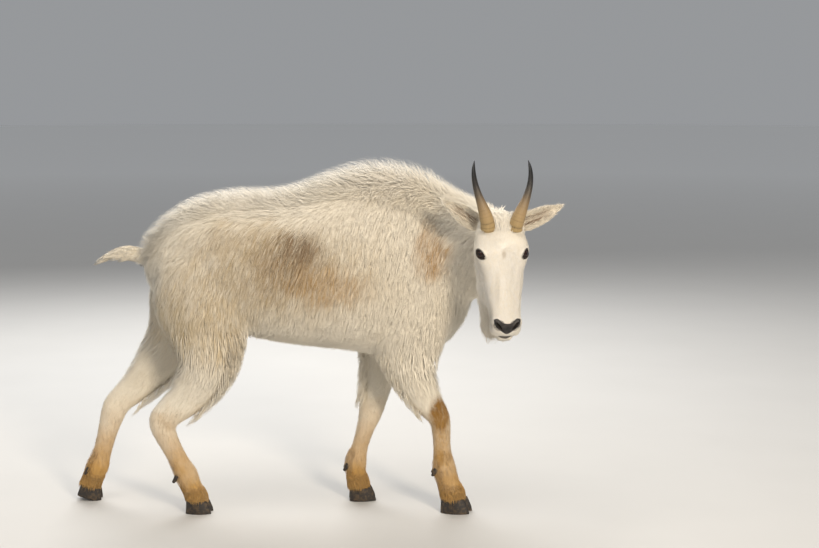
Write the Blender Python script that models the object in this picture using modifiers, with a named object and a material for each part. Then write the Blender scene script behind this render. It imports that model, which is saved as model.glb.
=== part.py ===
"""Mountain goat, life size, walking, head turned to its right.

The goat faces +X, its right side is -Y and +Z is up. Sizes are metres, out to the tips of the coat.
The body is lofted whole from rows of sections, fused, and parted by thin cuts into named pieces.
"""

import math
import random

import bmesh
import bpy
import numpy as np
from mathutils import Matrix, Vector
from mathutils.bvhtree import BVHTree

GAP = 0.0003            # what touching pieces keep between them
CUT = 0.00035           # the thin cuts that part the body

BODY_VOXEL = 0.0065     # grain of the fused body before it is thinned out
HEAD_VOXEL = 0.0026
BODY_TRIANGLES = 3300
HEAD_TRIANGLES = 2130
FAR = 3.0               # larger than the goat

# Trunk: along the body, top and bottom of the coat without the crest, half width, narrowing upwards
TRUNK = [
    (-0.418, 0.690, 0.625, 0.030, 0.00),
    (-0.398, 0.722, 0.575, 0.070, 0.00),
    (-0.350, 0.771, 0.530, 0.108, 0.02),
    (-0.280, 0.812, 0.492, 0.130, 0.06),
    (-0.190, 0.836, 0.464, 0.146, 0.09),
    (-0.090, 0.839, 0.444, 0.158, 0.11),
    (0.000, 0.850, 0.430, 0.164, 0.15),
    (0.080, 0.875, 0.422, 0.163, 0.24),
    (0.150, 0.899, 0.412, 0.156, 0.33),
    (0.215, 0.905, 0.404, 0.149, 0.37),
    (0.285, 0.896, 0.403, 0.139, 0.36),
    (0.350, 0.873, 0.416, 0.124, 0.31),
    (0.405, 0.832, 0.450, 0.100, 0.20),
    (0.445, 0.775, 0.510, 0.066, 0.10),
    (0.462, 0.720, 0.570, 0.030, 0.00),
]

# Neck: centre line, half width, height above and below it
NECK = [
    (0.230, 0.000, 0.700, 0.105, 0.196, 0.200),
    (0.310, -0.004, 0.702, 0.102, 0.181, 0.185),
    (0.385, -0.022, 0.704, 0.096, 0.157, 0.165),
    (0.447, -0.062, 0.707, 0.085, 0.132, 0.146),
    (0.490, -0.115, 0.711, 0.073, 0.108, 0.130),
    (0.511, -0.165, 0.714, 0.064, 0.088, 0.110),
    (0.517, -0.215, 0.712, 0.055, 0.070, 0.092),
    (0.519, -0.250, 0.710, 0.040, 0.050, 0.062),
]

# Legs: centre line, half length fore and aft, half width
LEGS = {
    "hind_right": [
        (-0.285, -0.066, 0.670, 0.100, 0.070),
        (-0.264, -0.084, 0.565, 0.124, 0.074),
        (-0.240, -0.094, 0.465, 0.106, 0.066),
        (-0.247, -0.095, 0.385, 0.083, 0.053),
        (-0.294, -0.092, 0.315, 0.060, 0.041),
        (-0.346, -0.088, 0.268, 0.046, 0.032),
        (-0.363, -0.086, 0.240, 0.040, 0.031),
        (-0.345, -0.084, 0.188, 0.032, 0.027),
        (-0.318, -0.083, 0.135, 0.030, 0.027),
        (-0.302, -0.083, 0.103, 0.035, 0.032),
        (-0.287, -0.083, 0.068, 0.031, 0.031),
        (-0.275, -0.083, 0.040, 0.034, 0.035),
        (-0.270, -0.083, 0.015, 0.030, 0.031),
    ],
    "hind_left": [
        (-0.290, 0.066, 0.670, 0.100, 0.070),
        (-0.306, 0.080, 0.565, 0.116, 0.072),
        (-0.335, 0.085, 0.460, 0.096, 0.060),
        (-0.388, 0.080, 0.382, 0.076, 0.049),
        (-0.450, 0.072, 0.315, 0.053, 0.038),
        (-0.500, 0.065, 0.270, 0.042, 0.031),
        (-0.516, 0.061, 0.240, 0.039, 0.030),
        (-0.534, 0.058, 0.180, 0.031, 0.026),
        (-0.550, 0.056, 0.122, 0.030, 0.026),
        (-0.560, 0.055, 0.092, 0.035, 0.031),
        (-0.573, 0.055, 0.062, 0.031, 0.030),
        (-0.583, 0.055, 0.036, 0.034, 0.034),
        (-0.587, 0.055, 0.014, 0.030, 0.030),
    ],
    "fore_right": [
        (0.262, -0.070, 0.640, 0.100, 0.064),
        (0.284, -0.082, 0.540, 0.112, 0.068),
        (0.286, -0.084, 0.450, 0.104, 0.062),
        (0.298, -0.083, 0.370, 0.072, 0.051),
        (0.334, -0.081, 0.303, 0.050, 0.040),
        (0.364, -0.080, 0.258, 0.036, 0.034),
        (0.371, -0.079, 0.225, 0.030, 0.029),
        (0.374, -0.078, 0.170, 0.028, 0.027),
        (0.380, -0.078, 0.120, 0.035, 0.034),
        (0.392, -0.078, 0.078, 0.033, 0.033),
        (0.402, -0.078, 0.046, 0.038, 0.039),
        (0.407, -0.078, 0.016, 0.033, 0.034),
    ],
    "fore_left": [
        (0.246, 0.070, 0.640, 0.100, 0.064),
        (0.246, 0.080, 0.540, 0.110, 0.066),
        (0.232, 0.078, 0.450, 0.094, 0.058),
        (0.210, 0.072, 0.368, 0.065, 0.047),
        (0.194, 0.065, 0.292, 0.047, 0.038),
        (0.180, 0.060, 0.232, 0.036, 0.033),
        (0.168, 0.057, 0.195, 0.029, 0.028),
        (0.153, 0.055, 0.145, 0.027, 0.026),
        (0.142, 0.054, 0.102, 0.034, 0.032),
        (0.144, 0.053, 0.070, 0.031, 0.031),
        (0.149, 0.052, 0.044, 0.035, 0.037),
        (0.152, 0.052, 0.015, 0.031, 0.033),
    ],
}

# Each foot: middle of the sole, heading in degrees, heel lift in degrees, size, spread of the toes
FEET = {
    "hind_right": (-0.268, -0.083, -4.0, 0.0, 0.94, 0.0165),
    "hind_left": (-0.584, 0.055, 3.0, 16.0, 0.92, 0.0155),
    "fore_right": (0.412, -0.078, -14.0, 0.0, 1.08, 0.0185),
    "fore_left": (0.160, 0.052, 4.0, 0.0, 1.00, 0.0170),
}
HOOF_LENGTH = 0.072
HOOF_WIDTH = 0.030
HOOF_HEIGHT = 0.036
DEWCLAW_LENGTH = 0.022
DEWCLAW_RADIUS = 0.0080

# Head frame: forward runs down the face, left is the goat's left, up is out of its forehead
HEAD_ORIGIN = Vector((0.5190, -0.270, 0.770))
HEAD_YAW = math.radians(7.0)
HEAD_PITCH = math.radians(66.0)
# Face and jaw: along the face, top, widest level, bottom, half width, squareness
FACE = [
    (-0.085, -0.060, -0.072, -0.085, 0.018, 2.0),
    (-0.070, -0.034, -0.062, -0.100, 0.041, 2.1),
    (-0.040, -0.008, -0.050, -0.112, 0.057, 2.3),
    (-0.005, 0.001, -0.042, -0.118, 0.0645, 2.4),
    (0.028, 0.003, -0.037, -0.116, 0.0690, 2.5),
    (0.052, 0.001, -0.036, -0.110, 0.0690, 2.6),
    (0.076, -0.002, -0.038, -0.102, 0.0625, 2.5),
    (0.100, -0.004, -0.041, -0.095, 0.0550, 2.4),
    (0.135, -0.006, -0.044, -0.088, 0.0490, 2.3),
    (0.170, -0.008, -0.046, -0.082, 0.0445, 2.3),
    (0.200, -0.010, -0.045, -0.076, 0.0408, 2.3),
    (0.222, -0.012, -0.045, -0.074, 0.0398, 2.3),
    (0.238, -0.016, -0.046, -0.072, 0.0396, 2.3),
    (0.249, -0.026, -0.048, -0.069, 0.0358, 2.2),
    (0.256, -0.036, -0.050, -0.065, 0.0275, 2.1),
    (0.260, -0.044, -0.052, -0.060, 0.0140, 2.0),
]
JAW = [
    (-0.052, -0.080, -0.100, -0.115, 0.030, 2.0),
    (-0.025, -0.060, -0.100, -0.134, 0.052, 2.2),
    (0.020, -0.050, -0.096, -0.142, 0.0640, 2.2),
    (0.065, -0.050, -0.090, -0.136, 0.0670, 2.2),
    (0.105, -0.050, -0.085, -0.124, 0.0620, 2.2),
    (0.140, -0.050, -0.080, -0.112, 0.0530, 2.2),
    (0.175, -0.050, -0.076, -0.100, 0.0420, 2.2),
    (0.205, -0.053, -0.075, -0.095, 0.0330, 2.2),
    (0.235, -0.058, -0.076, -0.094, 0.0270, 2.2),
    (0.253, -0.061, -0.077, -0.094, 0.0245, 2.1),
    (0.265, -0.067, -0.079, -0.090, 0.0150, 2.0),
]
# Beard: centre line, half width across the head, half thickness
BEARD = [
    (0.508, -0.246, 0.640, 0.056, 0.036),
    (0.506, -0.240, 0.590, 0.052, 0.034),
    (0.503, -0.236, 0.548, 0.042, 0.025),
    (0.501, -0.235, 0.516, 0.037, 0.018),
    (0.500, -0.235, 0.491, 0.020, 0.009),
]
# Bulges on each side of the head: centre (forward, left, up) and half sizes
HEAD_BULGES = [
    ((0.038, 0.0545, -0.0350), (0.036, 0.0168, 0.0210)),
    ((0.100, 0.0430, -0.0520), (0.052, 0.0130, 0.0150)),
    ((0.230, 0.0250, -0.0315), (0.018, 0.0152, 0.0150)),
    ((0.238, 0.0220, -0.0560), (0.022, 0.0190, 0.0130)),
    ((-0.018, 0.0330, -0.0060), (0.030, 0.0230, 0.0130)),
]

EYE_CENTRE = (0.0580, 0.0500, -0.0215)
EYE_AXIS = (0.10, 0.74, 0.66)       # where the left eye looks
EYE_ALONG = (-0.75, 0.45, -0.39)    # its slit, from the inner corner to the outer
EYE_RADIUS = 0.0140
LIDS = (0.0212, 0.0172, 0.0168)     # half sizes of the lids: along the slit, across and outwards
EYE_OPENING = (0.0148, 0.0106)

NOSTRIL = (0.2430, 0.0205, -0.0215)
NOSTRIL_ALONG = (0.45, -0.67, -0.60)
NOSTRIL_OUT = (0.76, 0.20, 0.62)
NOSTRIL_SIZE = (0.0135, 0.0036, 0.0080)
NOSE = (0.252, 0.0, -0.032)
NOSE_OUT = (0.80, 0.0, 0.60)
NOSE_DEPTH = 0.013
# Half the outline of the bare nose, from its notch on top to its foot: sideways and down
NOSE_OUTLINE = [
    (0.000, -0.0200), (0.010, -0.0215), (0.020, -0.0262), (0.0290, -0.0288), (0.0335, -0.0250),
    (0.0305, -0.0165), (0.0225, -0.0065), (0.0120, 0.0025), (0.005, 0.0082), (0.000, 0.0100),
]
MOUTH_FRONT = (0.275, -0.0615)
MOUTH_CORNER = (0.190, -0.0660)
MOUTH_GAPE = 0.0028
MOUTH_DEPTH = 0.011

HORN_BASE = (-0.006, 0.0345, -0.012)
HORN_LENGTH = 0.184
# Radius up the horn: share of its length, radius
HORN_RADII = [
    (0.00, 0.0192), (0.12, 0.0180), (0.24, 0.0158), (0.37, 0.0124), (0.51, 0.0094), (0.75, 0.0064),
    (0.90, 0.0040), (1.00, 0.0010),
]
HORN_LEAN = (48.0, -12.0)   # from the skull's axis towards the forehead, base to tip
HORN_BOW = 118.0            # how far the horns bow apart
HORN_HOOK = 12.0            # how far their tips turn in again
HORN_DRIFT = 0.018          # both lean a little to the goat's left
HORN_RINGS = 4

EAR_BASE = (-0.024, 0.050, -0.040)
EAR_TIPS = {1: (-0.079, 0.170, -0.049), -1: (-0.096, -0.140, -0.046)}
EAR_HALF_WIDTH = 0.023
EAR_DEPTH = 0.016
EAR_THICKNESS = 0.0036

# Tail without its hair: centre line, half height, half width
TAIL = [
    (-0.372, 0.000, 0.674, 0.040, 0.044),
    (-0.405, 0.000, 0.673, 0.034, 0.038),
    (-0.440, 0.000, 0.679, 0.0245, 0.026),
    (-0.475, 0.000, 0.683, 0.0155, 0.018),
    (-0.503, 0.000, 0.675, 0.0095, 0.012),
    (-0.522, 0.000, 0.665, 0.0050, 0.006),
]

# Hair locks: length, width and thickness
LOCKS = {
    "rump": (0.056, 0.041, 0.0085),
    "hump": (0.066, 0.043, 0.0095),
    "mane": (0.062, 0.041, 0.0095),
    "thigh": (0.072, 0.035, 0.0085),
    "forearm": (0.060, 0.028, 0.0080),
    "tail": (0.060, 0.023, 0.0085),
    "beard": (0.040, 0.022, 0.0075),
}
CREST_STEP = 0.0355
LOCK_ROOT = 0.012       # how deep a lock is rooted

COLOURS = {
    "coat": (0.78, 0.72, 0.62, 0.85, 0.0),
    "legs": (0.70, 0.58, 0.40, 0.85, 0.0),
    "horn": (0.10, 0.085, 0.07, 0.42, 0.0),
    "hoof": (0.09, 0.08, 0.075, 0.55, 0.0),
    "eye": (0.03, 0.018, 0.010, 0.08, 0.0),
    "nose": (0.05, 0.045, 0.045, 0.50, 0.0),
}


def clear_scene():
    for obj in list(bpy.data.objects):
        bpy.data.objects.remove(obj, do_unlink=True)
    for name, hidden in (("mountain_goat", False), ("cutters", True)):
        group = bpy.data.collections.new(name)
        group.hide_render = hidden
        bpy.context.scene.collection.children.link(group)


def make_material(name):
    red, green, blue, roughness, metallic = COLOURS[name]
    material = bpy.data.materials.new(name)
    material.use_nodes = True
    shader = material.node_tree.nodes["Principled BSDF"]
    shader.inputs["Base Color"].default_value = (red, green, blue, 1.0)
    shader.inputs["Roughness"].default_value = roughness
    shader.inputs["Metallic"].default_value = metallic
    return material


def link(obj, group="mountain_goat"):
    bpy.data.collections[group].objects.link(obj)
    return obj


def object_from(form, name, group="mountain_goat"):
    """Turns a bmesh into an object with faces pointing out."""
    bmesh.ops.recalc_face_normals(form, faces=form.faces)
    mesh = bpy.data.meshes.new(name)
    form.to_mesh(mesh)
    form.free()
    return link(bpy.data.objects.new(name, mesh), group)


def settle(obj):
    """Applies the object's modifiers to its mesh."""
    graph = bpy.context.evaluated_depsgraph_get()
    mesh = bpy.data.meshes.new_from_object(obj.evaluated_get(graph))
    obj.modifiers.clear()
    obj.data = mesh
    return obj


def discard(*objects):
    for obj in objects:
        bpy.data.objects.remove(obj, do_unlink=True)


def smooth_rows(rows, per_span=4):
    """Reads rows of numbers as a smooth curve through them."""
    rows = np.array(rows, float)
    last = len(rows) - 1
    found = []
    for i in range(last):
        a, b, c, d = rows[max(i - 1, 0)], rows[i], rows[i + 1], rows[min(i + 2, last)]
        for k in range(per_span):
            t = k / per_span
            bend = (2 * a - 5 * b + 4 * c - d) * t * t + (3 * b - a - 3 * c + d) * t ** 3
            found.append(b + 0.5 * ((c - a) * t + bend))
    found.append(rows[last])
    return found


def oval(half_side, rise, drop, narrow=0.0, square=2.0, count=24):
    """Side and up offsets round a section: a superellipse that may narrow upwards."""
    points = []
    for k in range(count):
        angle = 2 * math.pi * k / count
        c, s = math.cos(angle), math.sin(angle)
        side = math.copysign(abs(c) ** (2 / square), c)
        up = math.copysign(abs(s) ** (2 / square), s)
        points.append((half_side * side * (1 - narrow * up), (rise if up > 0 else drop) * up))
    return points


def skin_rings(name, rings, group="mountain_goat"):
    """A closed loft through rings of points."""
    form = bmesh.new()
    loops = [[form.verts.new(p) for p in ring] for ring in rings]
    for one, two in zip(loops, loops[1:]):
        for k in range(len(one)):
            n = (k + 1) % len(one)
            form.faces.new((one[k], one[n], two[n], two[k]))
    form.faces.new(loops[0])
    form.faces.new(loops[-1])
    return object_from(form, name, group)


def loft_trunk(name, rows):
    """Upright sections along X that narrow upwards."""
    rings = []
    for along, top, bottom, half, narrow in smooth_rows(rows):
        level = (top + bottom) / 2
        offsets = oval(half, top - level, level - bottom, narrow, 2.15)
        rings.append([Vector((along, s, level + u)) for s, u in offsets])
    return skin_rings(name, rings)


def loft_head(name, rows):
    """Sections across the head, each with its own widest level."""
    rings = []
    for along, top, level, bottom, half, square in smooth_rows(rows, 5):
        offsets = oval(half, top - level, level - bottom, 0.0, square, 28)
        rings.append([HEAD_FRAME @ Vector((along, s, level + u)) for s, u in offsets])
    return skin_rings(name, rings)


def path_frames(points, side_hint):
    """Tangent, side and up at each point of a path."""
    frames = []
    for i, point in enumerate(points):
        tangent = (points[min(i + 1, len(points) - 1)] - points[max(i - 1, 0)]).normalized()
        side = (side_hint - tangent * side_hint.dot(tangent)).normalized()
        frames.append((point, tangent, side, tangent.cross(side)))
    return frames


def loft_neck(name, rows):
    rows = smooth_rows(rows)
    points = [Vector(row[:3]) for row in rows]
    rings = []
    for row, (point, tangent, _, _) in zip(rows, path_frames(points, Vector((0, 1, 0)))):
        side = Vector((0, 0, 1)).cross(tangent).normalized()
        up = tangent.cross(side)
        offsets = oval(row[3], row[4], row[5], 0.16)
        rings.append([point + side * s + up * u for s, u in offsets])
    return skin_rings(name, rings)


def loft_limb(name, rows):
    """Sections square to a centre line: half length fore and aft, half width across."""
    rows = smooth_rows(rows)
    points = [Vector(row[:3]) for row in rows]
    rings = []
    for row, (point, _, side, up) in zip(rows, path_frames(points, Vector((0, 1, 0)))):
        offsets = oval(row[4], row[3], row[3])
        rings.append([point + side * s + up * u for s, u in offsets])
    return skin_rings(name, rings)


def ball(name, centre, half_sizes, frame=Matrix.Identity(4), group="mountain_goat", rings=12):
    form = bmesh.new()
    bmesh.ops.create_uvsphere(form, u_segments=2 * rings, v_segments=rings, radius=1.0)
    place = frame @ Matrix.Translation(centre) @ Matrix.Diagonal((*half_sizes, 1.0))
    bmesh.ops.transform(form, matrix=place, verts=form.verts)
    return object_from(form, name, group)


def join_parts(name, objects):
    """Gathers several closed forms into one object, before they are fused."""
    form = bmesh.new()
    for obj in objects:
        form.from_mesh(obj.data)
    discard(*objects)
    mesh = bpy.data.meshes.new(name)
    form.to_mesh(mesh)
    form.free()
    return link(bpy.data.objects.new(name, mesh))


def relax(obj, rounds):
    """Evens out the seams between fused forms and keeps their girth."""
    mesh = obj.data
    points = np.empty(len(mesh.vertices) * 3)
    mesh.vertices.foreach_get("co", points)
    points = points.reshape(-1, 3)
    ends = np.empty(len(mesh.edges) * 2, int)
    mesh.edges.foreach_get("vertices", ends)
    one, two = ends.reshape(-1, 2).T
    count = np.bincount(ends, minlength=len(points))[:, None]
    for _ in range(rounds):
        for share in (0.55, -0.565):
            total = np.zeros_like(points)
            np.add.at(total, one, points[two])
            np.add.at(total, two, points[one])
            points += share * (total / count - points)
    mesh.vertices.foreach_set("co", points.ravel())
    mesh.update()


def fuse(obj, voxel, rounds, triangles):
    """Makes overlapping forms one skin, smooths it and thins it to so many triangles."""
    remesh = obj.modifiers.new("remesh", "REMESH")
    remesh.mode = "VOXEL"
    remesh.voxel_size = voxel
    settle(obj)
    relax(obj, rounds)
    thin = obj.modifiers.new("thin", "DECIMATE")
    thin.ratio = triangles / (2 * len(obj.data.polygons))
    thin.use_collapse_triangulate = True
    settle(obj)
    return obj


def boolean(obj, operation, tool=None, tools=None):
    change = obj.modifiers.new(operation, "BOOLEAN")
    change.operation = operation
    change.solver = "MANIFOLD"
    if tools is not None:
        change.operand_type = "COLLECTION"
        change.collection = tools
    else:
        change.object = tool
    return settle(obj)


def keep_largest(obj):
    """Leaves the largest closed surface, and drops scraps and sealed hollows."""
    form = bmesh.new()
    form.from_mesh(obj.data)
    form.faces.ensure_lookup_table()
    seen, best = set(), []
    for start in form.faces:
        if start in seen:
            continue
        shell, queue = [], [start]
        seen.add(start)
        while queue:
            face = queue.pop()
            shell.append(face)
            for edge in face.edges:
                for other in edge.link_faces:
                    if other not in seen:
                        seen.add(other)
                        queue.append(other)
        if len(shell) > len(best):
            best = shell
    kept = set(best)
    bmesh.ops.delete(form, geom=[f for f in form.faces if f not in kept], context="FACES")
    form.to_mesh(obj.data)
    form.free()
    return obj


def slab(point, normal, name="slab"):
    """A large block whose face lies at the point and which reaches away along the normal."""
    normal = Vector(normal).normalized()
    turn = normal.to_track_quat("Z", "Y").to_matrix().to_4x4()
    form = bmesh.new()
    bmesh.ops.create_cube(form, size=1.0)
    place = Matrix.Translation(Vector(point)) @ turn @ Matrix.Diagonal((FAR, FAR, FAR, 1.0))
    lift = place @ Matrix.Translation((0, 0, 0.5))
    bmesh.ops.transform(form, matrix=lift, verts=form.verts)
    return object_from(form, name, "cutters")


def copy_of(obj, name):
    twin = bpy.data.objects.new(name, obj.data.copy())
    return link(twin)


def keep_side(obj, point, normal, gap=CUT / 2):
    """Keeps what lies along the normal from the point, less half a thin cut."""
    normal = Vector(normal).normalized()
    tool = slab(Vector(point) - normal * -gap, normal)
    boolean(obj, "INTERSECT", tool)
    discard(tool)
    return keep_largest(obj)


def prism(name, outline, low, high, grow, tilt):
    """A block along X with an outline in Y and Z, grown on every side and tilted about Y."""
    corners = [Vector(p) for p in outline]
    area = sum(a.cross(b) for a, b in zip(corners, corners[1:] + corners[:1]))
    spread = []
    for k, point in enumerate(corners):
        before = (point - corners[k - 1]).normalized()
        after = (corners[(k + 1) % len(corners)] - point).normalized()
        one = Vector((before.y, -before.x)) * math.copysign(1, area)
        two = Vector((after.y, -after.x)) * math.copysign(1, area)
        spread.append(point + (one + two) * grow / (1 + one.dot(two)))
    middle = (low + high) / 2
    turn = Matrix.Translation((middle, 0, 0)) @ Matrix.Rotation(tilt, 4, "Y")
    rings = []
    for x in (low - grow - middle, high + grow - middle):
        rings.append([turn @ Vector((x, p.x, p.y)) for p in spread])
    return skin_rings(name, rings, "cutters")


def take_block(body, name, outline, low, high, tilt=0.0):
    """Parts a block-shaped region off the body: the region becomes a piece of its own."""
    piece = copy_of(body, name)
    for target, grow, operation in ((piece, 0.0, "INTERSECT"), (body, CUT, "DIFFERENCE")):
        tool = prism("block", outline, low, high, grow, tilt)
        boolean(target, operation, tool)
        discard(tool)
        keep_largest(target)
    return piece


def swell(obj, distance):
    """A copy of a piece, grown outwards, for cutting its neighbour clear of it."""
    twin = bpy.data.objects.new(obj.name + "_grown", obj.data.copy())
    link(twin, "cutters")
    form = bmesh.new()
    form.from_mesh(twin.data)
    form.normal_update()
    for vert in form.verts:
        vert.co += vert.normal * distance * vert.calc_shell_factor()
    form.to_mesh(twin.data)
    form.free()
    return twin


def cut_clear(obj, neighbour, gap=GAP):
    tool = swell(neighbour, gap)
    boolean(obj, "DIFFERENCE", tool)
    discard(tool)
    return keep_largest(obj)


def finish(obj, name, material):
    obj.name = name
    obj.data.name = name
    obj.data.materials.clear()
    obj.data.materials.append(material)
    obj.data.shade_smooth()
    obj.data.set_sharp_from_angle(angle=math.radians(40))
    return obj


def head_frame():
    forward = Vector((
        math.sin(HEAD_YAW) * math.cos(HEAD_PITCH),
        -math.cos(HEAD_YAW) * math.cos(HEAD_PITCH),
        -math.sin(HEAD_PITCH),
    ))
    left = Vector((math.cos(HEAD_YAW), math.sin(HEAD_YAW), 0.0))
    up = forward.cross(left)
    frame = Matrix((forward, left, up)).transposed().to_4x4()
    return Matrix.Translation(HEAD_ORIGIN) @ frame


HEAD_FRAME = head_frame()


def sided(point, side):
    """A point given for the left of the head, on the side asked for."""
    return Vector((point[0], point[1] * side, point[2]))


def build_body():
    forms = [loft_trunk("trunk", TRUNK), loft_neck("neck_form", NECK), loft_limb("tail_form", TAIL)]
    forms += [loft_limb(name, rows) for name, rows in LEGS.items()]
    return fuse(join_parts("body", forms), BODY_VOXEL, 14, BODY_TRIANGLES)


def build_head():
    forms = [loft_head("face", FACE), loft_head("jaw", JAW), loft_neck("throat", NECK[2:])]
    forms.append(loft_limb("beard_form", BEARD))
    for side in (1, -1):
        for centre, half in HEAD_BULGES:
            forms.append(ball("bulge", sided(centre, side), half, HEAD_FRAME))
        forms.append(ball("lids", (0, 0, 0), LIDS, eye_frame(side), rings=16))
    head = fuse(join_parts("head", forms), HEAD_VOXEL, 7, HEAD_TRIANGLES)
    open_eyes(head)
    open_nostrils(head)
    open_mouth(head)
    return keep_largest(head)


def frame_at(centre, along, out):
    """A frame in the head with its first axis along a feature and its third out of the skin."""
    out = Vector(out).normalized()
    along = Vector(along)
    along = (along - out * along.dot(out)).normalized()
    turn = Matrix((along, out.cross(along), out)).transposed().to_4x4()
    return HEAD_FRAME @ Matrix.Translation(Vector(centre)) @ turn


def eye_frame(side):
    return frame_at(sided(EYE_CENTRE, side), sided(EYE_ALONG, side), sided(EYE_AXIS, side))


def cut_ball(obj, half_sizes, frame, centre=(0, 0, 0), rings=10):
    tool = ball("hollow", centre, half_sizes, frame, "cutters", rings)
    boolean(obj, "DIFFERENCE", tool)
    discard(tool)


def open_eyes(head):
    for side in (1, -1):
        frame = eye_frame(side)
        cut_ball(head, (EYE_RADIUS + GAP,) * 3, frame, rings=12)
        cut_ball(head, (*EYE_OPENING, 0.014), frame, (0, 0, EYE_RADIUS + 0.003), rings=8)


def open_nostrils(head):
    for side in (1, -1):
        frame = frame_at(sided(NOSTRIL, side), sided(NOSTRIL_ALONG, side), sided(NOSTRIL_OUT, side))
        cut_ball(head, NOSTRIL_SIZE, frame, rings=6)


def part_nose(head, material):
    """Parts the bare skin of the nose off the muzzle as a pad of its own."""
    out = Vector(NOSE_OUT).normalized()
    down = Vector((out.z, 0, -out.x))
    half = [Vector(p) for p in NOSE_OUTLINE]
    outline = half + [Vector((-p.x, p.y)) for p in half[-2:0:-1]]
    pad = copy_of(head, "nose")
    for target, grow, operation in ((pad, 0.0, "INTERSECT"), (head, CUT, "DIFFERENCE")):
        rings = []
        for height in (-NOSE_DEPTH - grow, 0.05):
            ring = []
            for p in outline:
                wider = p * (1 + grow / p.length)
                point = Vector(NOSE) + Vector((0, 1, 0)) * wider.x + down * wider.y + out * height
                ring.append(HEAD_FRAME @ point)
            rings.append(ring)
        tool = skin_rings("nose_cut", rings, "cutters")
        boolean(target, operation, tool)
        discard(tool)
        keep_largest(target)
    return finish(pad, "nose", material)


def open_mouth(head):
    """A thin groove between the lips, from the front of the mouth back to its corners."""
    front, corner = Vector(MOUTH_FRONT), Vector(MOUTH_CORNER)
    rings = []
    for k in range(9):
        t = k / 8
        along = corner.x + (front.x - corner.x) * t
        level = corner.y + (front.y - corner.y) * t - 0.004 * math.sin(math.pi * t)
        half = MOUTH_GAPE / 2 * min(1.0, 0.25 + 3 * t)
        square = [(0.06, half), (-0.06, half), (-0.06, -half), (0.06, -half)]
        rings.append([HEAD_FRAME @ Vector((along, s, level + u)) for s, u in square])
    blade = skin_rings("mouth_cut", rings, "cutters")
    inside = (0.258 - MOUTH_DEPTH - 0.09, 0, front.y), (0.09, 0.036 - MOUTH_DEPTH, 0.03)
    cut_ball(blade, inside[1], HEAD_FRAME, inside[0], rings=12)
    keep_largest(blade)
    boolean(head, "DIFFERENCE", blade)
    discard(blade)


def build_eye(side, material):
    eye = ball("eye", (0, 0, 0), (EYE_RADIUS,) * 3, eye_frame(side), rings=8)
    return finish(eye, "eye_" + side_name(side), material)


def side_name(side):
    return "left" if side > 0 else "right"


def horn_path(side, steps):
    """Points up a horn that leaves the skull leaning forwards, bows out and sweeps back."""
    point = sided(HORN_BASE, side)
    points = [point.copy()]
    for k in range(steps):
        t = (k + 0.5) / steps
        lean = math.radians(HORN_LEAN[0] + (HORN_LEAN[1] - HORN_LEAN[0]) * t ** 0.8)
        splay = math.radians(HORN_BOW * t * (1 - t) ** 1.8 + 4 * (1 - t) - HORN_HOOK * t ** 4)
        step = Vector((-math.cos(lean) * math.cos(splay), math.sin(splay) * side + HORN_DRIFT,
                       math.sin(lean) * math.cos(splay)))
        point = point + step * (HORN_LENGTH / steps)
        points.append(point.copy())
    return points


def build_horn(side, head, material):
    steps = 4 * HORN_RINGS
    rings = []
    for k, (point, _, across, up) in enumerate(path_frames(horn_path(side, steps), Vector((0, 1, 0)))):
        t = k / steps
        radius = float(np.interp(t, *zip(*HORN_RADII)))
        if k % 2 == 0 and 0 < k <= 2 * HORN_RINGS:
            radius *= 1.05
        offsets = oval(radius * 0.97, radius * 1.06, radius * 1.06, count=8)
        rings.append([HEAD_FRAME @ (point + across * s + up * u) for s, u in offsets])
    horn = skin_rings("horn", rings)
    cut_clear(horn, head)
    return finish(horn, "horn_" + side_name(side), material)


def build_ear(side, head, material):
    """A leaf-shaped cup: an open curved sheet, thickened, rolled in at its base."""
    base, tip = sided(EAR_BASE, side), sided(EAR_TIPS[side], 1)
    axis = (tip - base).normalized()
    facing = Vector((0.34, 0.12 * side, 0.93))
    facing = (facing - axis * facing.dot(axis)).normalized()
    across = facing.cross(axis)
    form = bmesh.new()
    rows, columns = 8, 6
    grid = []
    for r in range(rows + 1):
        t = r / rows
        half = EAR_HALF_WIDTH * (math.sin(math.pi * (0.17 + 0.83 * t) ** 0.80) ** 0.85 + 0.05)
        cup = EAR_DEPTH * (1 - t) ** 0.6 + 0.003
        curl = math.radians(132 - 66 * t)
        middle = base + axis * ((tip - base).length * t) + facing * (0.010 * math.sin(math.pi * t))
        row = []
        for c in range(columns + 1):
            angle = curl * (2 * c / columns - 1) * 0.62
            sway = half * math.sin(angle) / math.sin(curl * 0.62)
            row.append(form.verts.new(HEAD_FRAME @ (middle + across * sway + facing * cup * (-math.cos(angle)))))
        grid.append(row)
    for one, two in zip(grid, grid[1:]):
        for c in range(columns):
            form.faces.new((one[c], one[c + 1], two[c + 1], two[c]))
    mesh = bpy.data.meshes.new("ear")
    form.to_mesh(mesh)
    form.free()
    ear = link(bpy.data.objects.new("ear", mesh))
    wall = ear.modifiers.new("wall", "SOLIDIFY")
    wall.thickness = EAR_THICKNESS
    wall.offset = 0.0
    settle(ear)
    form = bmesh.new()
    form.from_mesh(ear.data)
    bmesh.ops.triangulate(form, faces=form.faces)
    bmesh.ops.recalc_face_normals(form, faces=form.faces)
    form.to_mesh(ear.data)
    form.free()
    cut_clear(ear, head)
    return finish(ear, "ear_" + side_name(side), material)


def foot_frame(name):
    x, y, heading, lift, size, spread = FEET[name]
    turn = Matrix.Rotation(math.radians(heading), 4, "Z") @ Matrix.Rotation(math.radians(lift), 4, "Y")
    return Matrix.Translation((x, y, 0)) @ turn, size, spread


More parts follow.
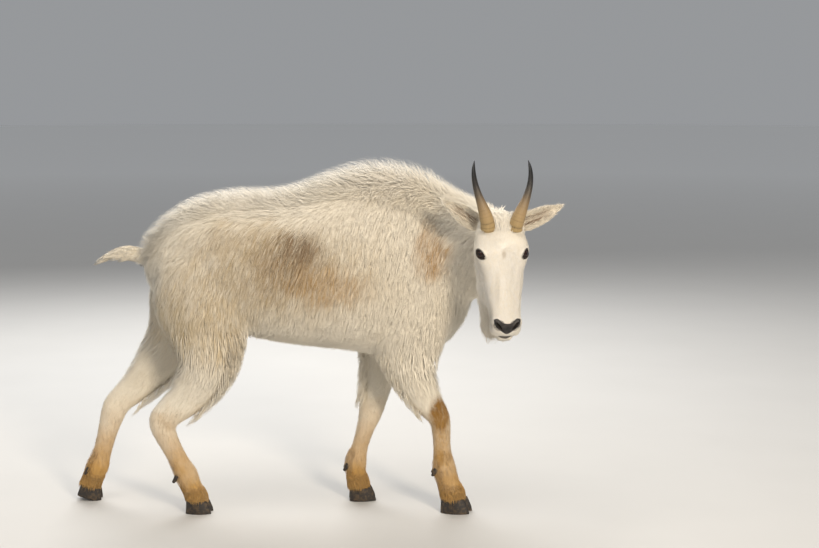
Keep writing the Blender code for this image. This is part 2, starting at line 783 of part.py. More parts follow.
def build_hoof(name, side, material):
    """One toe: a wedge with a pointed front, a flat sole and a flat inner wall."""
    frame, size, spread = foot_frame(name)
    lift = math.radians(FEET[name][3])
    length, width, height = HOOF_LENGTH * size, HOOF_WIDTH * size, HOOF_HEIGHT * size
    rings = []
    for level, shorter, back in ((0.0, 1.0, 0.0), (0.3, 0.97, -0.01), (0.75, 0.87, -0.05), (1.0, 0.80, -0.075)):
        ring = []
        for k in range(14):
            angle = 2 * math.pi * k / 14
            c, s = math.cos(angle), math.sin(angle)
            taper = 1 - 0.42 * max(0.0, c) ** 2
            across = s * width / 2 * taper * (0.82 + 0.18 * shorter)
            if s * side < 0:
                across *= 0.72
            along = (c * length / 2) * shorter + back * length
            ring.append(frame @ Vector((along, side * spread + across, level * height)))
        rings.append(ring)
    hoof = skin_rings("hoof", rings)
    if lift:
        drop = min(v.co.z for v in hoof.data.vertices) + 0.0035
        hoof.data.transform(Matrix.Translation((0, 0, -drop)))
        keep_side(hoof, (0, 0, 0), (0, 0, 1), 0.0)
    place = "inner" if (side > 0) == name.endswith("right") else "outer"
    return finish(hoof, f"hoof_{name}_{place}", material)


def coronet(name):
    """The plane where the leg meets the top of its hooves."""
    frame, size, _ = foot_frame(name)
    lift = math.radians(FEET[name][3])
    drop = 0.0
    if lift:
        drop = HOOF_LENGTH * size / 2 * math.sin(lift) - 0.0035
    point = frame @ Vector((0, 0, HOOF_HEIGHT * size)) + Vector((0, 0, drop))
    return point, frame.to_3x3() @ Vector((0, 0, 1))


def build_dewclaw(name, side, leg, material):
    rows = LEGS[name]
    fetlock = Vector(rows[-4][:3])
    back = -rows[-4][3]
    root = fetlock + Vector((back * 0.58, side * 0.0150, -0.002))
    tip = root + Vector((-0.0125, side * 0.004, -DEWCLAW_LENGTH * 0.8))
    form = bmesh.new()
    bmesh.ops.create_cone(form, cap_ends=True, segments=8, radius1=DEWCLAW_RADIUS,
                          radius2=DEWCLAW_RADIUS * 0.45, depth=DEWCLAW_LENGTH)
    turn = (tip - root).to_track_quat("Z", "Y").to_matrix().to_4x4()
    bmesh.ops.transform(form, matrix=Matrix.Translation((root + tip) / 2) @ turn, verts=form.verts)
    claw = object_from(form, "claw")
    cut_clear(claw, leg)
    place = "inner" if (side > 0) == name.endswith("right") else "outer"
    return finish(claw, f"dewclaw_{name}_{place}", material)


def lock_form(form, root, grow, lie, sizes, tilt=0.0):
    """A flat tapered lock that leaves the skin one way and bends to lie another."""
    length, width, thick = sizes
    points, directions = [root - grow * LOCK_ROOT], []
    for t in (0.0, 0.38, 0.72, 1.0):
        way = grow.lerp(lie, min(1.0, 0.15 + t)).normalized()
        directions.append(way)
        step = LOCK_ROOT if t == 0 else length / 3
        points.append(points[-1] + way * step)
    side = Matrix.Rotation(tilt, 3, lie) @ grow.cross(lie).normalized()
    rings = []
    for point, way, wide, deep in zip(points, [grow] + directions, (0.8, 1.0, 0.92, 0.56), (1, 1, 0.8, 0.5)):
        across = (side - way * side.dot(way)).normalized()
        up = across.cross(way)
        half, rise = width * wide / 2, thick * deep / 2
        ring = [point + across * half, point + up * rise, point - across * half, point - up * rise]
        rings.append([form.verts.new(p) for p in ring])
    tip = form.verts.new(points[4])
    for one, two in zip(rings, rings[1:]):
        for k in range(4):
            n = (k + 1) % 4
            form.faces.new((one[k], one[n], two[n], two[k]))
    for k in range(4):
        form.faces.new((rings[3][k], rings[3][(k + 1) % 4], tip))
    form.faces.new(rings[0])


def tree_of(obj):
    form = bmesh.new()
    form.from_mesh(obj.data)
    tree = BVHTree.FromBMesh(form)
    form.free()
    return tree


def skin_at(tree, origin, direction):
    """The skin's point and outward direction where a ray meets it."""
    point, normal, _, _ = tree.ray_cast(Vector(origin), Vector(direction))
    return point, normal


def join_locks(obj, locks, chance):
    """Unites a node with its locks, given as root, way out, lie, kind and scale."""
    group = bpy.data.collections.new("locks_" + obj.name)
    bpy.context.scene.collection.children.link(group)
    for root, grow, lie, kind, scale in locks:
        form = bmesh.new()
        sizes = [size * scale * chance.uniform(0.88, 1.12) for size in LOCKS[kind][:2]]
        lock_form(form, root, grow, lie, (*sizes, LOCKS[kind][2]), chance.uniform(-0.3, 0.3))
        bmesh.ops.recalc_face_normals(form, faces=form.faces)
        mesh = bpy.data.meshes.new("lock")
        form.to_mesh(mesh)
        form.free()
        group.objects.link(bpy.data.objects.new("lock", mesh))
    boolean(obj, "UNION", tools=group)
    discard(*list(group.objects))
    bpy.data.collections.remove(group)
    return keep_largest(obj)


def crest_locks(tree, chance):
    """Locks along the spine, over the hump and up the neck, in two uneven rows."""
    spine = [(x, 0) for x, *_ in TRUNK[2:10]] + [(x, y) for x, y, *_ in NECK[1:6]]
    track = [Vector((*point, 0)) for point in smooth_rows(spine, 8)]
    found, walked, mark = [], 0.0, 0.0
    for a, b in zip(track, track[1:]):
        back = (a - b).normalized()
        across = Vector((-back.y, back.x, 0))
        while mark < walked + (b - a).length:
            for row in (-1, 1):
                point = a - back * (mark - walked + row * CREST_STEP / 4)
                point += across * (row * chance.uniform(0.007, 0.018))
                skin, normal = skin_at(tree, (point.x, point.y, 2), (0, 0, -1))
                kind = "rump" if point.x < -0.05 else "hump" if point.x < 0.3 else "mane"
                lie = (back - normal * back.dot(normal)).normalized()
                lean, lift = (1.25, 0.16) if kind == "rump" else (0.92, 0.26)
                grow = (normal + lie * lean + across * row * 0.12).normalized()
                fall = (lie + normal * (lift + chance.uniform(-0.06, 0.06)) + across * row * 0.08).normalized()
                found.append((skin, grow, fall, kind, 1.0))
            mark += CREST_STEP
        walked += (b - a).length
    return found


def fringe_locks(tree, name, chance):
    """Long hair down the front edge of a thigh or the back edge of a forearm."""
    hind = name.startswith("hind")
    rows = smooth_rows(LEGS[name][2:6] if hind else LEGS[name][2:6], 6)
    way = -1.0 if hind else 1.0
    columns = (-0.6, 0.5) if hind else (-0.5, 0.5)
    count = 6 if hind else 3
    found = []
    for k in range(count):
        start = 0.22 if hind else 0.50
        place = (start + (0.92 - start) * k / (count - 1)) * (len(rows) - 2)
        row, after = rows[int(place)], rows[int(place) + 1]
        down = (Vector(after[:3]) - Vector(row[:3])).normalized()
        for across in columns:
            aside = Vector((-way * 0.4, row[4] * 0.62 * across, chance.uniform(-0.008, 0.008)))
            skin, normal = skin_at(tree, Vector(row[:3]) + aside, (way, 0, 0))
            if skin is None or (skin.x - row[0]) * way > 0:
                continue
            grow = (normal * 0.8 + down).normalized()
            lie = (down + Vector((0, 0, -0.35)) + normal * 0.12).normalized()
            found.append((skin, grow, lie, "thigh" if hind else "forearm", 0.85 + 0.25 * k / count))
    return found


def tail_locks(tree, chance):
    """Hair that runs off the dock and gathers to a loose point."""
    found = []
    gather = Vector((-0.580, 0, 0.652))
    for k, x in enumerate((-0.438, -0.466, -0.492)):
        for turn in range(3):
            angle = math.pi * (2 * turn / 3 + 0.5 + 0.33 * (k % 2))
            way = Vector((0, math.cos(angle), math.sin(angle)))
            skin, normal = skin_at(tree, Vector((x, 0, 0.672)) + way * 0.2, -way)
            if skin is None:
                continue
            lie = (gather - skin).normalized()
            grow = (normal * 0.55 + lie).normalized()
            found.append((skin, grow, lie, "tail", chance.uniform(0.85, 1.05)))
    return found


def beard_locks(tree, chance):
    """Hair that hangs from the beard's rim, on both sides and at its point."""
    found = []
    fall = Vector((0.0, -0.12, -1.0)).normalized()
    for (x, y, z, half, _), across in zip(BEARD[1:4] * 2, (-0.85, -0.75, -0.55, 0.85, 0.75, 0.55)):
        aside = math.copysign(1, across)
        skin, normal = skin_at(tree, (x + 0.2 * aside, y, z), (-aside, 0, 0))
        grow = (normal * 0.4 + fall).normalized()
        lie = (fall + Vector((-0.18 * aside, 0, 0))).normalized()
        found.append((skin, grow, lie, "beard", chance.uniform(0.85, 1.0)))
    return found


def recentre():
    """Moves the goat so that the middle of its base is the origin."""
    objects = bpy.data.collections["mountain_goat"].objects
    corners = np.array([v.co for obj in objects for v in obj.data.vertices])
    low, high = corners.min(0), corners.max(0)
    shift = Vector((-(low[0] + high[0]) / 2, -(low[1] + high[1]) / 2, -low[2]))
    for obj in objects:
        obj.data.transform(Matrix.Translation(shift))
    print("shift", [round(c, 6) for c in shift])


def main():
    clear_scene()
    chance = random.Random(7)
    paint = {name: make_material(name) for name in COLOURS}
    body = build_body()
    head = build_head()
    skin = tree_of(body)
    face = tree_of(head)

    throat_cut = (Vector((0.515, -0.176, 0.70)), Vector((0.0872, -0.9962, 0.0)))
    breast_cut = (Vector((0.393, 0.0, 0.675)), Vector((0.985, 0.0, 0.170)))
    keep_side(head, *throat_cut)
    part_nose(head, paint["nose"])
    neck = keep_side(copy_of(body, "neck"), *breast_cut)
    keep_side(neck, throat_cut[0], -throat_cut[1])
    keep_side(body, breast_cut[0], -breast_cut[1])

    legs = {}
    for name in LEGS:
        side = 1 if name.endswith("left") else -1
        if name.startswith("fore"):
            outline = [(0.001, -0.2), (0.3, -0.2), (0.3, 0.445), (0.036, 0.445), (0.036, 0.388), (0.001, 0.366)]
            low, high, tilt = 0.05, 0.55, math.radians(-8)
        else:
            outline = [(0.001, -0.3), (0.3, -0.3), (0.3, 0.520), (0.001, 0.520)]
            low, high, tilt = -0.92, -0.128, math.radians(12)
        legs[name] = take_block(body, name, [(y * side, z) for y, z in outline], low, high, tilt)
    box = [(-0.08, 0.626), (0.08, 0.626), (0.08, 0.80), (-0.08, 0.80)]
    tail = take_block(body, "tail", box, -0.70, -0.412)

    crest = crest_locks(skin, chance)
    front = [lock for lock in crest if (lock[0] - breast_cut[0]).dot(breast_cut[1]) > 0.004]
    rear = [lock for lock in crest if (lock[0] - breast_cut[0]).dot(breast_cut[1]) < -0.004]
    join_locks(neck, front, chance)
    keep_side(neck, *breast_cut)
    keep_side(neck, throat_cut[0], -throat_cut[1])
    join_locks(body, rear, chance)
    keep_side(body, breast_cut[0], -breast_cut[1])
    join_locks(tail, tail_locks(skin, chance), chance)
    keep_side(tail, (-0.412, 0, 0.67), (-1, 0, 0))
    join_locks(head, beard_locks(face, chance), chance)

    for name, leg in legs.items():
        rows = LEGS[name]
        joint = Vector(rows[5][:3])
        axis = (Vector(rows[6][:3]) - Vector(rows[4][:3])).normalized()
        lower = keep_side(copy_of(leg, name + "_lower"), joint, axis)
        point, normal = coronet(name)
        keep_side(lower, point, normal)
        keep_side(leg, joint, -axis)
        join_locks(leg, fringe_locks(skin, name, chance), chance)
        for side in (1, -1):
            build_hoof(name, side, paint["hoof"])
            build_dewclaw(name, side, lower, paint["hoof"])
        joint_name = "cannon" if name.startswith("hind") else "shin"
        finish(lower, f"{name}_{joint_name}", paint["legs"])
        finish(leg, f"{name}_{'thigh' if name.startswith('hind') else 'forearm'}", paint["coat"])

    for side in (1, -1):
        build_eye(side, paint["eye"])
        build_horn(side, head, paint["horn"])
        build_ear(side, head, paint["coat"])
    finish(head, "head", paint["coat"])
    finish(neck, "neck", paint["coat"])
    finish(body, "torso", paint["coat"])
    finish(tail, "tail", paint["coat"])
    recentre()


main()
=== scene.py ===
import math

import bmesh
import bpy
import numpy as np
from mathutils import Matrix, Vector
from mathutils.bvhtree import BVHTree
from mathutils.kdtree import KDTree


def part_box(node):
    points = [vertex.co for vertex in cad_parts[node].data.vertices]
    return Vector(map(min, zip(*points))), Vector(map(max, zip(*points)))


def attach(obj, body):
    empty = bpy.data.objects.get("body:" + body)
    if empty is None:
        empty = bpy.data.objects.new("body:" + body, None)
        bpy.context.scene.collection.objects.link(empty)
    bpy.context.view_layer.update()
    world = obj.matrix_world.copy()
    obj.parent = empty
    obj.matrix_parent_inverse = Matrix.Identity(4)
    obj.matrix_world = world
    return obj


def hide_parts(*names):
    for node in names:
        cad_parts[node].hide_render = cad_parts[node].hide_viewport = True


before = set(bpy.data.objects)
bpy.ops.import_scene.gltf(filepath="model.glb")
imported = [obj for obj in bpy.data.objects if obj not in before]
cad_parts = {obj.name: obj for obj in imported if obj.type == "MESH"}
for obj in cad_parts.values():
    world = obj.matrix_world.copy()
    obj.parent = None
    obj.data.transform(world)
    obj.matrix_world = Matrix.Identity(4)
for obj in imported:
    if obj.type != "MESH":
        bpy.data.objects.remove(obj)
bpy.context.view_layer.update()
for name in ("Cube", "Light", "Camera"):
    if name in bpy.data.objects:
        bpy.data.objects.remove(bpy.data.objects[name], do_unlink=True)

# shapes shared with the solids, in metres; the goat faces +X and its right side is -Y

trunk = {
    "square": 2.15,
    # along the body, top, bottom, half width, narrowing upwards
    "rows": [
        (-0.418, 0.690, 0.625, 0.030, 0.00), (-0.398, 0.722, 0.575, 0.070, 0.00),
        (-0.350, 0.771, 0.530, 0.108, 0.02), (-0.280, 0.812, 0.492, 0.130, 0.06),
        (-0.190, 0.836, 0.464, 0.146, 0.09), (-0.090, 0.839, 0.444, 0.158, 0.11),
        (0.000, 0.850, 0.430, 0.164, 0.15), (0.080, 0.875, 0.422, 0.163, 0.24),
        (0.150, 0.899, 0.412, 0.156, 0.33), (0.215, 0.905, 0.404, 0.149, 0.37),
        (0.285, 0.896, 0.403, 0.139, 0.36), (0.350, 0.873, 0.416, 0.124, 0.31),
        (0.405, 0.832, 0.450, 0.100, 0.20), (0.445, 0.775, 0.510, 0.066, 0.10),
        (0.462, 0.720, 0.570, 0.030, 0.00),
    ],
}

neck = {
    "narrow": 0.16,
    # centre line, half width, height above and below it
    "rows": [
        (0.230, 0.000, 0.700, 0.105, 0.196, 0.200), (0.310, -0.004, 0.702, 0.102, 0.181, 0.185),
        (0.385, -0.022, 0.704, 0.096, 0.157, 0.165), (0.447, -0.062, 0.707, 0.085, 0.132, 0.146),
        (0.490, -0.115, 0.711, 0.073, 0.108, 0.130), (0.511, -0.165, 0.714, 0.064, 0.088, 0.110),
        (0.517, -0.215, 0.712, 0.055, 0.070, 0.092), (0.519, -0.250, 0.710, 0.040, 0.050, 0.062),
    ],
    "breastCut": ((0.393, 0.0, 0.675), (0.985, 0.0, 0.170)),
    "throatCut": ((0.515, -0.176, 0.70), (0.0872, -0.9962, 0.0)),
}

tailDock = {
    "rows": [
        (-0.372, 0.000, 0.674, 0.040, 0.044), (-0.405, 0.000, 0.673, 0.034, 0.038),
        (-0.440, 0.000, 0.679, 0.0245, 0.026), (-0.475, 0.000, 0.683, 0.0155, 0.018),
        (-0.503, 0.000, 0.675, 0.0095, 0.012), (-0.522, 0.000, 0.665, 0.0050, 0.006),
    ],
}

# centre line, half length fore and aft, half width
legs = {
    "hind_right": [
        (-0.285, -0.066, 0.670, 0.100, 0.070), (-0.264, -0.084, 0.565, 0.124, 0.074),
        (-0.240, -0.094, 0.465, 0.106, 0.066), (-0.247, -0.095, 0.385, 0.083, 0.053),
        (-0.294, -0.092, 0.315, 0.060, 0.041), (-0.346, -0.088, 0.268, 0.046, 0.032),
        (-0.363, -0.086, 0.240, 0.040, 0.031), (-0.345, -0.084, 0.188, 0.032, 0.027),
        (-0.318, -0.083, 0.135, 0.030, 0.027), (-0.302, -0.083, 0.103, 0.035, 0.032),
        (-0.287, -0.083, 0.068, 0.031, 0.031), (-0.275, -0.083, 0.040, 0.034, 0.035),
        (-0.270, -0.083, 0.015, 0.030, 0.031),
    ],
    "hind_left": [
        (-0.290, 0.066, 0.670, 0.100, 0.070), (-0.306, 0.080, 0.565, 0.116, 0.072),
        (-0.335, 0.085, 0.460, 0.096, 0.060), (-0.388, 0.080, 0.382, 0.076, 0.049),
        (-0.450, 0.072, 0.315, 0.053, 0.038), (-0.500, 0.065, 0.270, 0.042, 0.031),
        (-0.516, 0.061, 0.240, 0.039, 0.030), (-0.534, 0.058, 0.180, 0.031, 0.026),
        (-0.550, 0.056, 0.122, 0.030, 0.026), (-0.560, 0.055, 0.092, 0.035, 0.031),
        (-0.573, 0.055, 0.062, 0.031, 0.030), (-0.583, 0.055, 0.036, 0.034, 0.034),
        (-0.587, 0.055, 0.014, 0.030, 0.030),
    ],
    "fore_right": [
        (0.262, -0.070, 0.640, 0.100, 0.064), (0.284, -0.082, 0.540, 0.112, 0.068),
        (0.286, -0.084, 0.450, 0.104, 0.062), (0.298, -0.083, 0.370, 0.072, 0.051),
        (0.334, -0.081, 0.303, 0.050, 0.040), (0.364, -0.080, 0.258, 0.036, 0.034),
        (0.371, -0.079, 0.225, 0.030, 0.029), (0.374, -0.078, 0.170, 0.028, 0.027),
        (0.380, -0.078, 0.120, 0.035, 0.034), (0.392, -0.078, 0.078, 0.033, 0.033),
        (0.402, -0.078, 0.046, 0.038, 0.039), (0.407, -0.078, 0.016, 0.033, 0.034),
    ],
    "fore_left": [
        (0.246, 0.070, 0.640, 0.100, 0.064), (0.246, 0.080, 0.540, 0.110, 0.066),
        (0.232, 0.078, 0.450, 0.094, 0.058), (0.210, 0.072, 0.368, 0.065, 0.047),
        (0.194, 0.065, 0.292, 0.047, 0.038), (0.180, 0.060, 0.232, 0.036, 0.033),
        (0.168, 0.057, 0.195, 0.029, 0.028), (0.153, 0.055, 0.145, 0.027, 0.026),
        (0.142, 0.054, 0.102, 0.034, 0.032), (0.144, 0.053, 0.070, 0.031, 0.031),
        (0.149, 0.052, 0.044, 0.035, 0.037), (0.152, 0.052, 0.015, 0.031, 0.033),
    ],
}

# the head's own frame: forward runs down the face, left is the goat's left, up is out of the forehead
head = {
    "origin": (0.5190, -0.270, 0.770), "yaw": 7.0, "pitch": 66.0,
    # along the face, top, widest level, bottom, half width, squareness
    "face": [
        (-0.085, -0.060, -0.072, -0.085, 0.018, 2.0), (-0.070, -0.034, -0.062, -0.100, 0.041, 2.1),
        (-0.040, -0.008, -0.050, -0.112, 0.057, 2.3), (-0.005, 0.001, -0.042, -0.118, 0.0645, 2.4),
        (0.028, 0.003, -0.037, -0.116, 0.0690, 2.5), (0.052, 0.001, -0.036, -0.110, 0.0690, 2.6),
        (0.076, -0.002, -0.038, -0.102, 0.0625, 2.5), (0.100, -0.004, -0.041, -0.095, 0.0550, 2.4),
        (0.135, -0.006, -0.044, -0.088, 0.0490, 2.3), (0.170, -0.008, -0.046, -0.082, 0.0445, 2.3),
        (0.200, -0.010, -0.045, -0.076, 0.0408, 2.3), (0.222, -0.012, -0.045, -0.074, 0.0398, 2.3),
        (0.238, -0.016, -0.046, -0.072, 0.0396, 2.3), (0.249, -0.026, -0.048, -0.069, 0.0358, 2.2),
        (0.256, -0.036, -0.050, -0.065, 0.0275, 2.1), (0.260, -0.044, -0.052, -0.060, 0.0140, 2.0),
    ],
    "jaw": [
        (-0.052, -0.080, -0.100, -0.115, 0.030, 2.0), (-0.025, -0.060, -0.100, -0.134, 0.052, 2.2),
        (0.020, -0.050, -0.096, -0.142, 0.0640, 2.2), (0.065, -0.050, -0.090, -0.136, 0.0670, 2.2),
        (0.105, -0.050, -0.085, -0.124, 0.0620, 2.2), (0.140, -0.050, -0.080, -0.112, 0.0530, 2.2),
        (0.175, -0.050, -0.076, -0.100, 0.0420, 2.2), (0.205, -0.053, -0.075, -0.095, 0.0330, 2.2),
        (0.235, -0.058, -0.076, -0.094, 0.0270, 2.2), (0.253, -0.061, -0.077, -0.094, 0.0245, 2.1),
        (0.265, -0.067, -0.079, -0.090, 0.0150, 2.0),
    ],
    # the beard's centre line, half width across the head and half thickness
    "beard": [
        (0.508, -0.246, 0.640, 0.056, 0.036), (0.506, -0.240, 0.590, 0.052, 0.034),
        (0.503, -0.236, 0.548, 0.042, 0.025), (0.501, -0.235, 0.516, 0.037, 0.018),
        (0.500, -0.235, 0.491, 0.020, 0.009),
    ],
    # brow, cheek bone, nostril wing, upper lip and horn boss on each side: centre and half sizes
    "bulges": [
        ((0.038, 0.0545, -0.0350), (0.036, 0.0168, 0.0210)),
        ((0.100, 0.0430, -0.0520), (0.052, 0.0130, 0.0150)),
        ((0.230, 0.0250, -0.0315), (0.018, 0.0152, 0.0150)),
        ((0.238, 0.0220, -0.0560), (0.022, 0.0190, 0.0130)),
        ((-0.018, 0.0330, -0.0060), (0.030, 0.0230, 0.0130)),
    ],
}

eye = {
    "centre": (0.0580, 0.0500, -0.0215), "axis": (0.10, 0.74, 0.66), "along": (-0.75, 0.45, -0.39),
    "radius": 0.0140, "lids": (0.0212, 0.0172, 0.0168), "opening": (0.0160, 0.0094),
}

nose = {
    "centre": (0.252, 0.0, -0.032), "out": (0.80, 0.0, 0.60), "depth": 0.013,
    "nostril": (0.2430, 0.0205, -0.0215), "nostrilAlong": (0.45, -0.67, -0.60),
    "nostrilOut": (0.76, 0.20, 0.62), "nostrilSize": (0.0135, 0.0036, 0.0080),
    # half the outline of the bare skin, sideways and down from its notch
    "outline": [
        (0.000, -0.0200), (0.010, -0.0215), (0.020, -0.0262), (0.0290, -0.0288), (0.0335, -0.0250),
        (0.0305, -0.0165), (0.0225, -0.0065), (0.0120, 0.0025), (0.005, 0.0082), (0.000, 0.0100),
    ],
}

mouth = {"front": (0.275, -0.0615), "corner": (0.190, -0.0660), "gape": 0.0028, "depth": 0.011}


def smoothRows(rows, perSpan=4):
    rows = np.array(rows, float)
    last = len(rows) - 1
    found = []
    for i in range(last):
        a, b, c, d = rows[max(i - 1, 0)], rows[i], rows[i + 1], rows[min(i + 2, last)]
        for k in range(perSpan):
            t = k / perSpan
            bend = (2 * a - 5 * b + 4 * c - d) * t * t + (3 * b - a - 3 * c + d) * t ** 3
            found.append(b + 0.5 * ((c - a) * t + bend))
    found.append(rows[last])
    return found


def oval(halfSide, rise, drop, narrow=0.0, square=2.0, count=32):
    points = []
    for k in range(count):
        angle = 2 * math.pi * k / count
        c, s = math.cos(angle), math.sin(angle)
        side = math.copysign(abs(c) ** (2 / square), c)
        up = math.copysign(abs(s) ** (2 / square), s)
        points.append((halfSide * side * (1 - narrow * up), (rise if up > 0 else drop) * up))
    return points


def pieceFrom(form, name):
    mesh = bpy.data.meshes.new(name)
    form.to_mesh(mesh)
    form.free()
    piece = bpy.data.objects.new(name, mesh)
    bpy.context.scene.collection.objects.link(piece)
    return piece


def applied(piece):
    graph = bpy.context.evaluated_depsgraph_get()
    mesh = bpy.data.meshes.new_from_object(piece.evaluated_get(graph))
    piece.modifiers.clear()
    piece.data = mesh
    return piece


def loft(name, rings):
    form = bmesh.new()
    loops = []
    for ring in rings:
        made = bmesh.ops.create_circle(form, segments=len(ring), radius=1.0)["verts"]
        for vert, place in zip(made, ring):
            vert.co = place
        loops.append(list({edge for vert in made for edge in vert.link_edges}))
    for one, two in zip(loops, loops[1:]):
        bmesh.ops.bridge_loops(form, edges=one + two)
    for end in (loops[0], loops[-1]):
        bmesh.ops.contextual_create(form, geom=end)
    bmesh.ops.recalc_face_normals(form, faces=form.faces)
    return pieceFrom(form, name)


def pathFrames(points, hint=Vector((0, 1, 0))):
    frames = []
    for i, point in enumerate(points):
        tangent = (points[min(i + 1, len(points) - 1)] - points[max(i - 1, 0)]).normalized()
        side = (hint - tangent * hint.dot(tangent)).normalized()
        frames.append((point, tangent, side, tangent.cross(side)))
    return frames


def headFrame():
    yaw, pitch = math.radians(head["yaw"]), math.radians(head["pitch"])
    forward = Vector((math.sin(yaw) * math.cos(pitch), -math.cos(yaw) * math.cos(pitch), -math.sin(pitch)))
    left = Vector((math.cos(yaw), math.sin(yaw), 0.0))
    turn = Matrix((forward, left, forward.cross(left))).transposed().to_4x4()
    return Matrix.Translation(head["origin"]) @ turn


skull = headFrame()


def sided(point, side):
    return Vector((point[0], point[1] * side, point[2]))


def frameAt(centre, along, out):
    out = Vector(out).normalized()
    along = Vector(along)
    along = (along - out * along.dot(out)).normalized()
    turn = Matrix((along, out.cross(along), out)).transposed().to_4x4()
    return skull @ Matrix.Translation(Vector(centre)) @ turn


def eyeFrame(side):
    return frameAt(sided(eye["centre"], side), sided(eye["along"], side), sided(eye["axis"], side))


low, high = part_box("eye_left")
home = (low + high) / 2 - eyeFrame(1).translation   # from the sections' own place to the frame's


def ball(name, centre, halfSizes, place=Matrix.Identity(4), rings=24):
    form = bmesh.new()
    bmesh.ops.create_uvsphere(form, u_segments=2 * rings, v_segments=rings, radius=1.0)
    whole = place @ Matrix.Translation(centre) @ Matrix.Diagonal((*halfSizes, 1.0))
    bmesh.ops.transform(form, matrix=whole, verts=form.verts)
    bmesh.ops.recalc_face_normals(form, faces=form.faces)
    return pieceFrom(form, name)


def discard(*pieces):
    for piece in pieces:
        bpy.data.objects.remove(piece, do_unlink=True)


def gather(name, pieces):
    form = bmesh.new()
    for piece in pieces:
        form.from_mesh(piece.data)
    discard(*pieces)
    return pieceFrom(form, name)


def boolean(piece, operation, tool):
    change = piece.modifiers.new(operation, "BOOLEAN")
    change.operation = operation
    change.solver = "MANIFOLD"
    change.object = tool
    applied(piece)
    discard(tool)
    return piece


def trunkRings():
    rings = []
    for along, top, bottom, half, narrow in smoothRows(trunk["rows"]):
        level = (top + bottom) / 2
        offsets = oval(half, top - level, level - bottom, narrow, trunk["square"])
        rings.append([Vector((along, s, level + u)) for s, u in offsets])
    return rings


def neckRings(rows):
    rows = smoothRows(rows)
    rings = []
    for row, (point, tangent, _, _) in zip(rows, pathFrames([Vector(r[:3]) for r in rows])):
        side = Vector((0, 0, 1)).cross(tangent).normalized()
        up = tangent.cross(side)
        rings.append([point + side * s + up * u for s, u in oval(row[3], row[4], row[5], neck["narrow"])])
    return rings


def limbRings(rows):
    rows = smoothRows(rows)
    rings = []
    for row, (point, _, side, up) in zip(rows, pathFrames([Vector(r[:3]) for r in rows])):
        rings.append([point + side * s + up * u for s, u in oval(row[4], row[3], row[3])])
    return rings


def headRings(rows):
    rings = []
    for along, top, level, bottom, half, square in smoothRows(rows, 5):
        offsets = oval(half, top - level, level - bottom, 0.0, square)
        rings.append([skull @ Vector((along, s, level + u)) for s, u in offsets])
    return rings


# a hide is the skin, the height of the coat over it and the lie of the hair, point by point


def smoothstep(low, high, value):
    t = np.clip((value - low) / (high - low), 0, 1)
    return t * t * (3 - 2 * t)


def unit(vectors):
    return vectors / np.maximum(np.linalg.norm(vectors, axis=-1, keepdims=True), 1e-9)


def dot(a, b):
    return (a * b).sum(-1, keepdims=True)


def evened(edges, field, rounds, push=None):
    one, two = edges.T
    count = np.bincount(edges.ravel(), minlength=len(field))
    field = field.astype(float)
    flat = field.reshape(len(field), -1)
    for _ in range(rounds):
        for share in (0.5,) if push is None else (0.55, push):
            for c in range(flat.shape[1]):
                total = np.bincount(one, flat[two, c], len(flat)) + np.bincount(two, flat[one, c], len(flat))
                flat[:, c] += share * (total / count - flat[:, c])
    return flat.reshape(field.shape)


def readMesh(mesh):
    points = np.empty(len(mesh.vertices) * 3)
    mesh.vertices.foreach_get("co", points)
    edges = np.empty(len(mesh.edges) * 2, int)
    mesh.edges.foreach_get("vertices", edges)
    mesh.calc_loop_triangles()
    faces = np.empty(len(mesh.loop_triangles) * 3, int)
    mesh.loop_triangles.foreach_get("vertices", faces)
    return points.reshape(-1, 3), edges.reshape(-1, 2), faces.reshape(-1, 3)


def outwards(points, faces):
    a, b, c = (points[faces[:, k]] for k in range(3))
    across = np.cross(b - a, c - a)
    total = np.zeros_like(points)
    for k in range(3):
        for c in range(3):
            total[:, c] += np.bincount(faces[:, k], across[:, c], len(points))
    return unit(total)


def fused(name, pieces, voxel, rounds):
    whole = gather(name, pieces)
    remesh = whole.modifiers.new("remesh", "REMESH")
    remesh.mode = "VOXEL"
    remesh.voxel_size = voxel
    applied(whole)
    points, edges, _ = readMesh(whole.data)
    points = evened(edges, points, rounds, -0.565)
    whole.data.vertices.foreach_set("co", points.ravel())
    whole.data.update()
    return whole


def hideOf(piece, depthOf, lieOf):
    tips, edges, faces = readMesh(piece.data)
    out = outwards(tips, faces)
    tree = BVHTree.FromPolygons(tips.tolist(), faces.tolist())
    through = np.array([
        (tree.ray_cast(Vector(p) - Vector(n) * 0.0015, -Vector(n))[3] or 0.3) for p, n in zip(tips, out)
    ])
    depth = evened(edges, depthOf(tips, out, through), 12)
    skin = tips - out * depth[:, None]
    skin = evened(edges, skin, 3, -0.565)
    piece.data.vertices.foreach_set("co", skin.ravel())
    piece.data.update()
    lie = lieOf(tips, out)
    for _ in range(5):
        lie = evened(edges, lie, 6)
        lie = unit(lie - out * dot(lie, out))
    return {"piece": piece, "skin": skin, "tips": tips, "out": out, "depth": depth, "lie": lie,
            "faces": faces, "tree": BVHTree.FromPolygons(skin.tolist(), faces.tolist())}


def legLines():
    lines = []
    for name, rows in legs.items():
        rows = np.array(smoothRows(rows, 6))
        way = unit(np.gradient(rows[:, :3], axis=0))
        lines.append((name, rows, way))
    return lines


def nearestOn(points, line):
    return np.argmin(((points[:, None, :] - line[None, :, :]) ** 2).sum(-1), axis=1)


def bodyDepth(points, out, through):
    depth = np.clip(0.115 * through, 0.0042, 0.0165)
    low = smoothstep(0.34, 0.20, points[:, 2])       # short hair below knee and hock
    return depth * (1 - low) + np.minimum(depth, 0.0052) * low


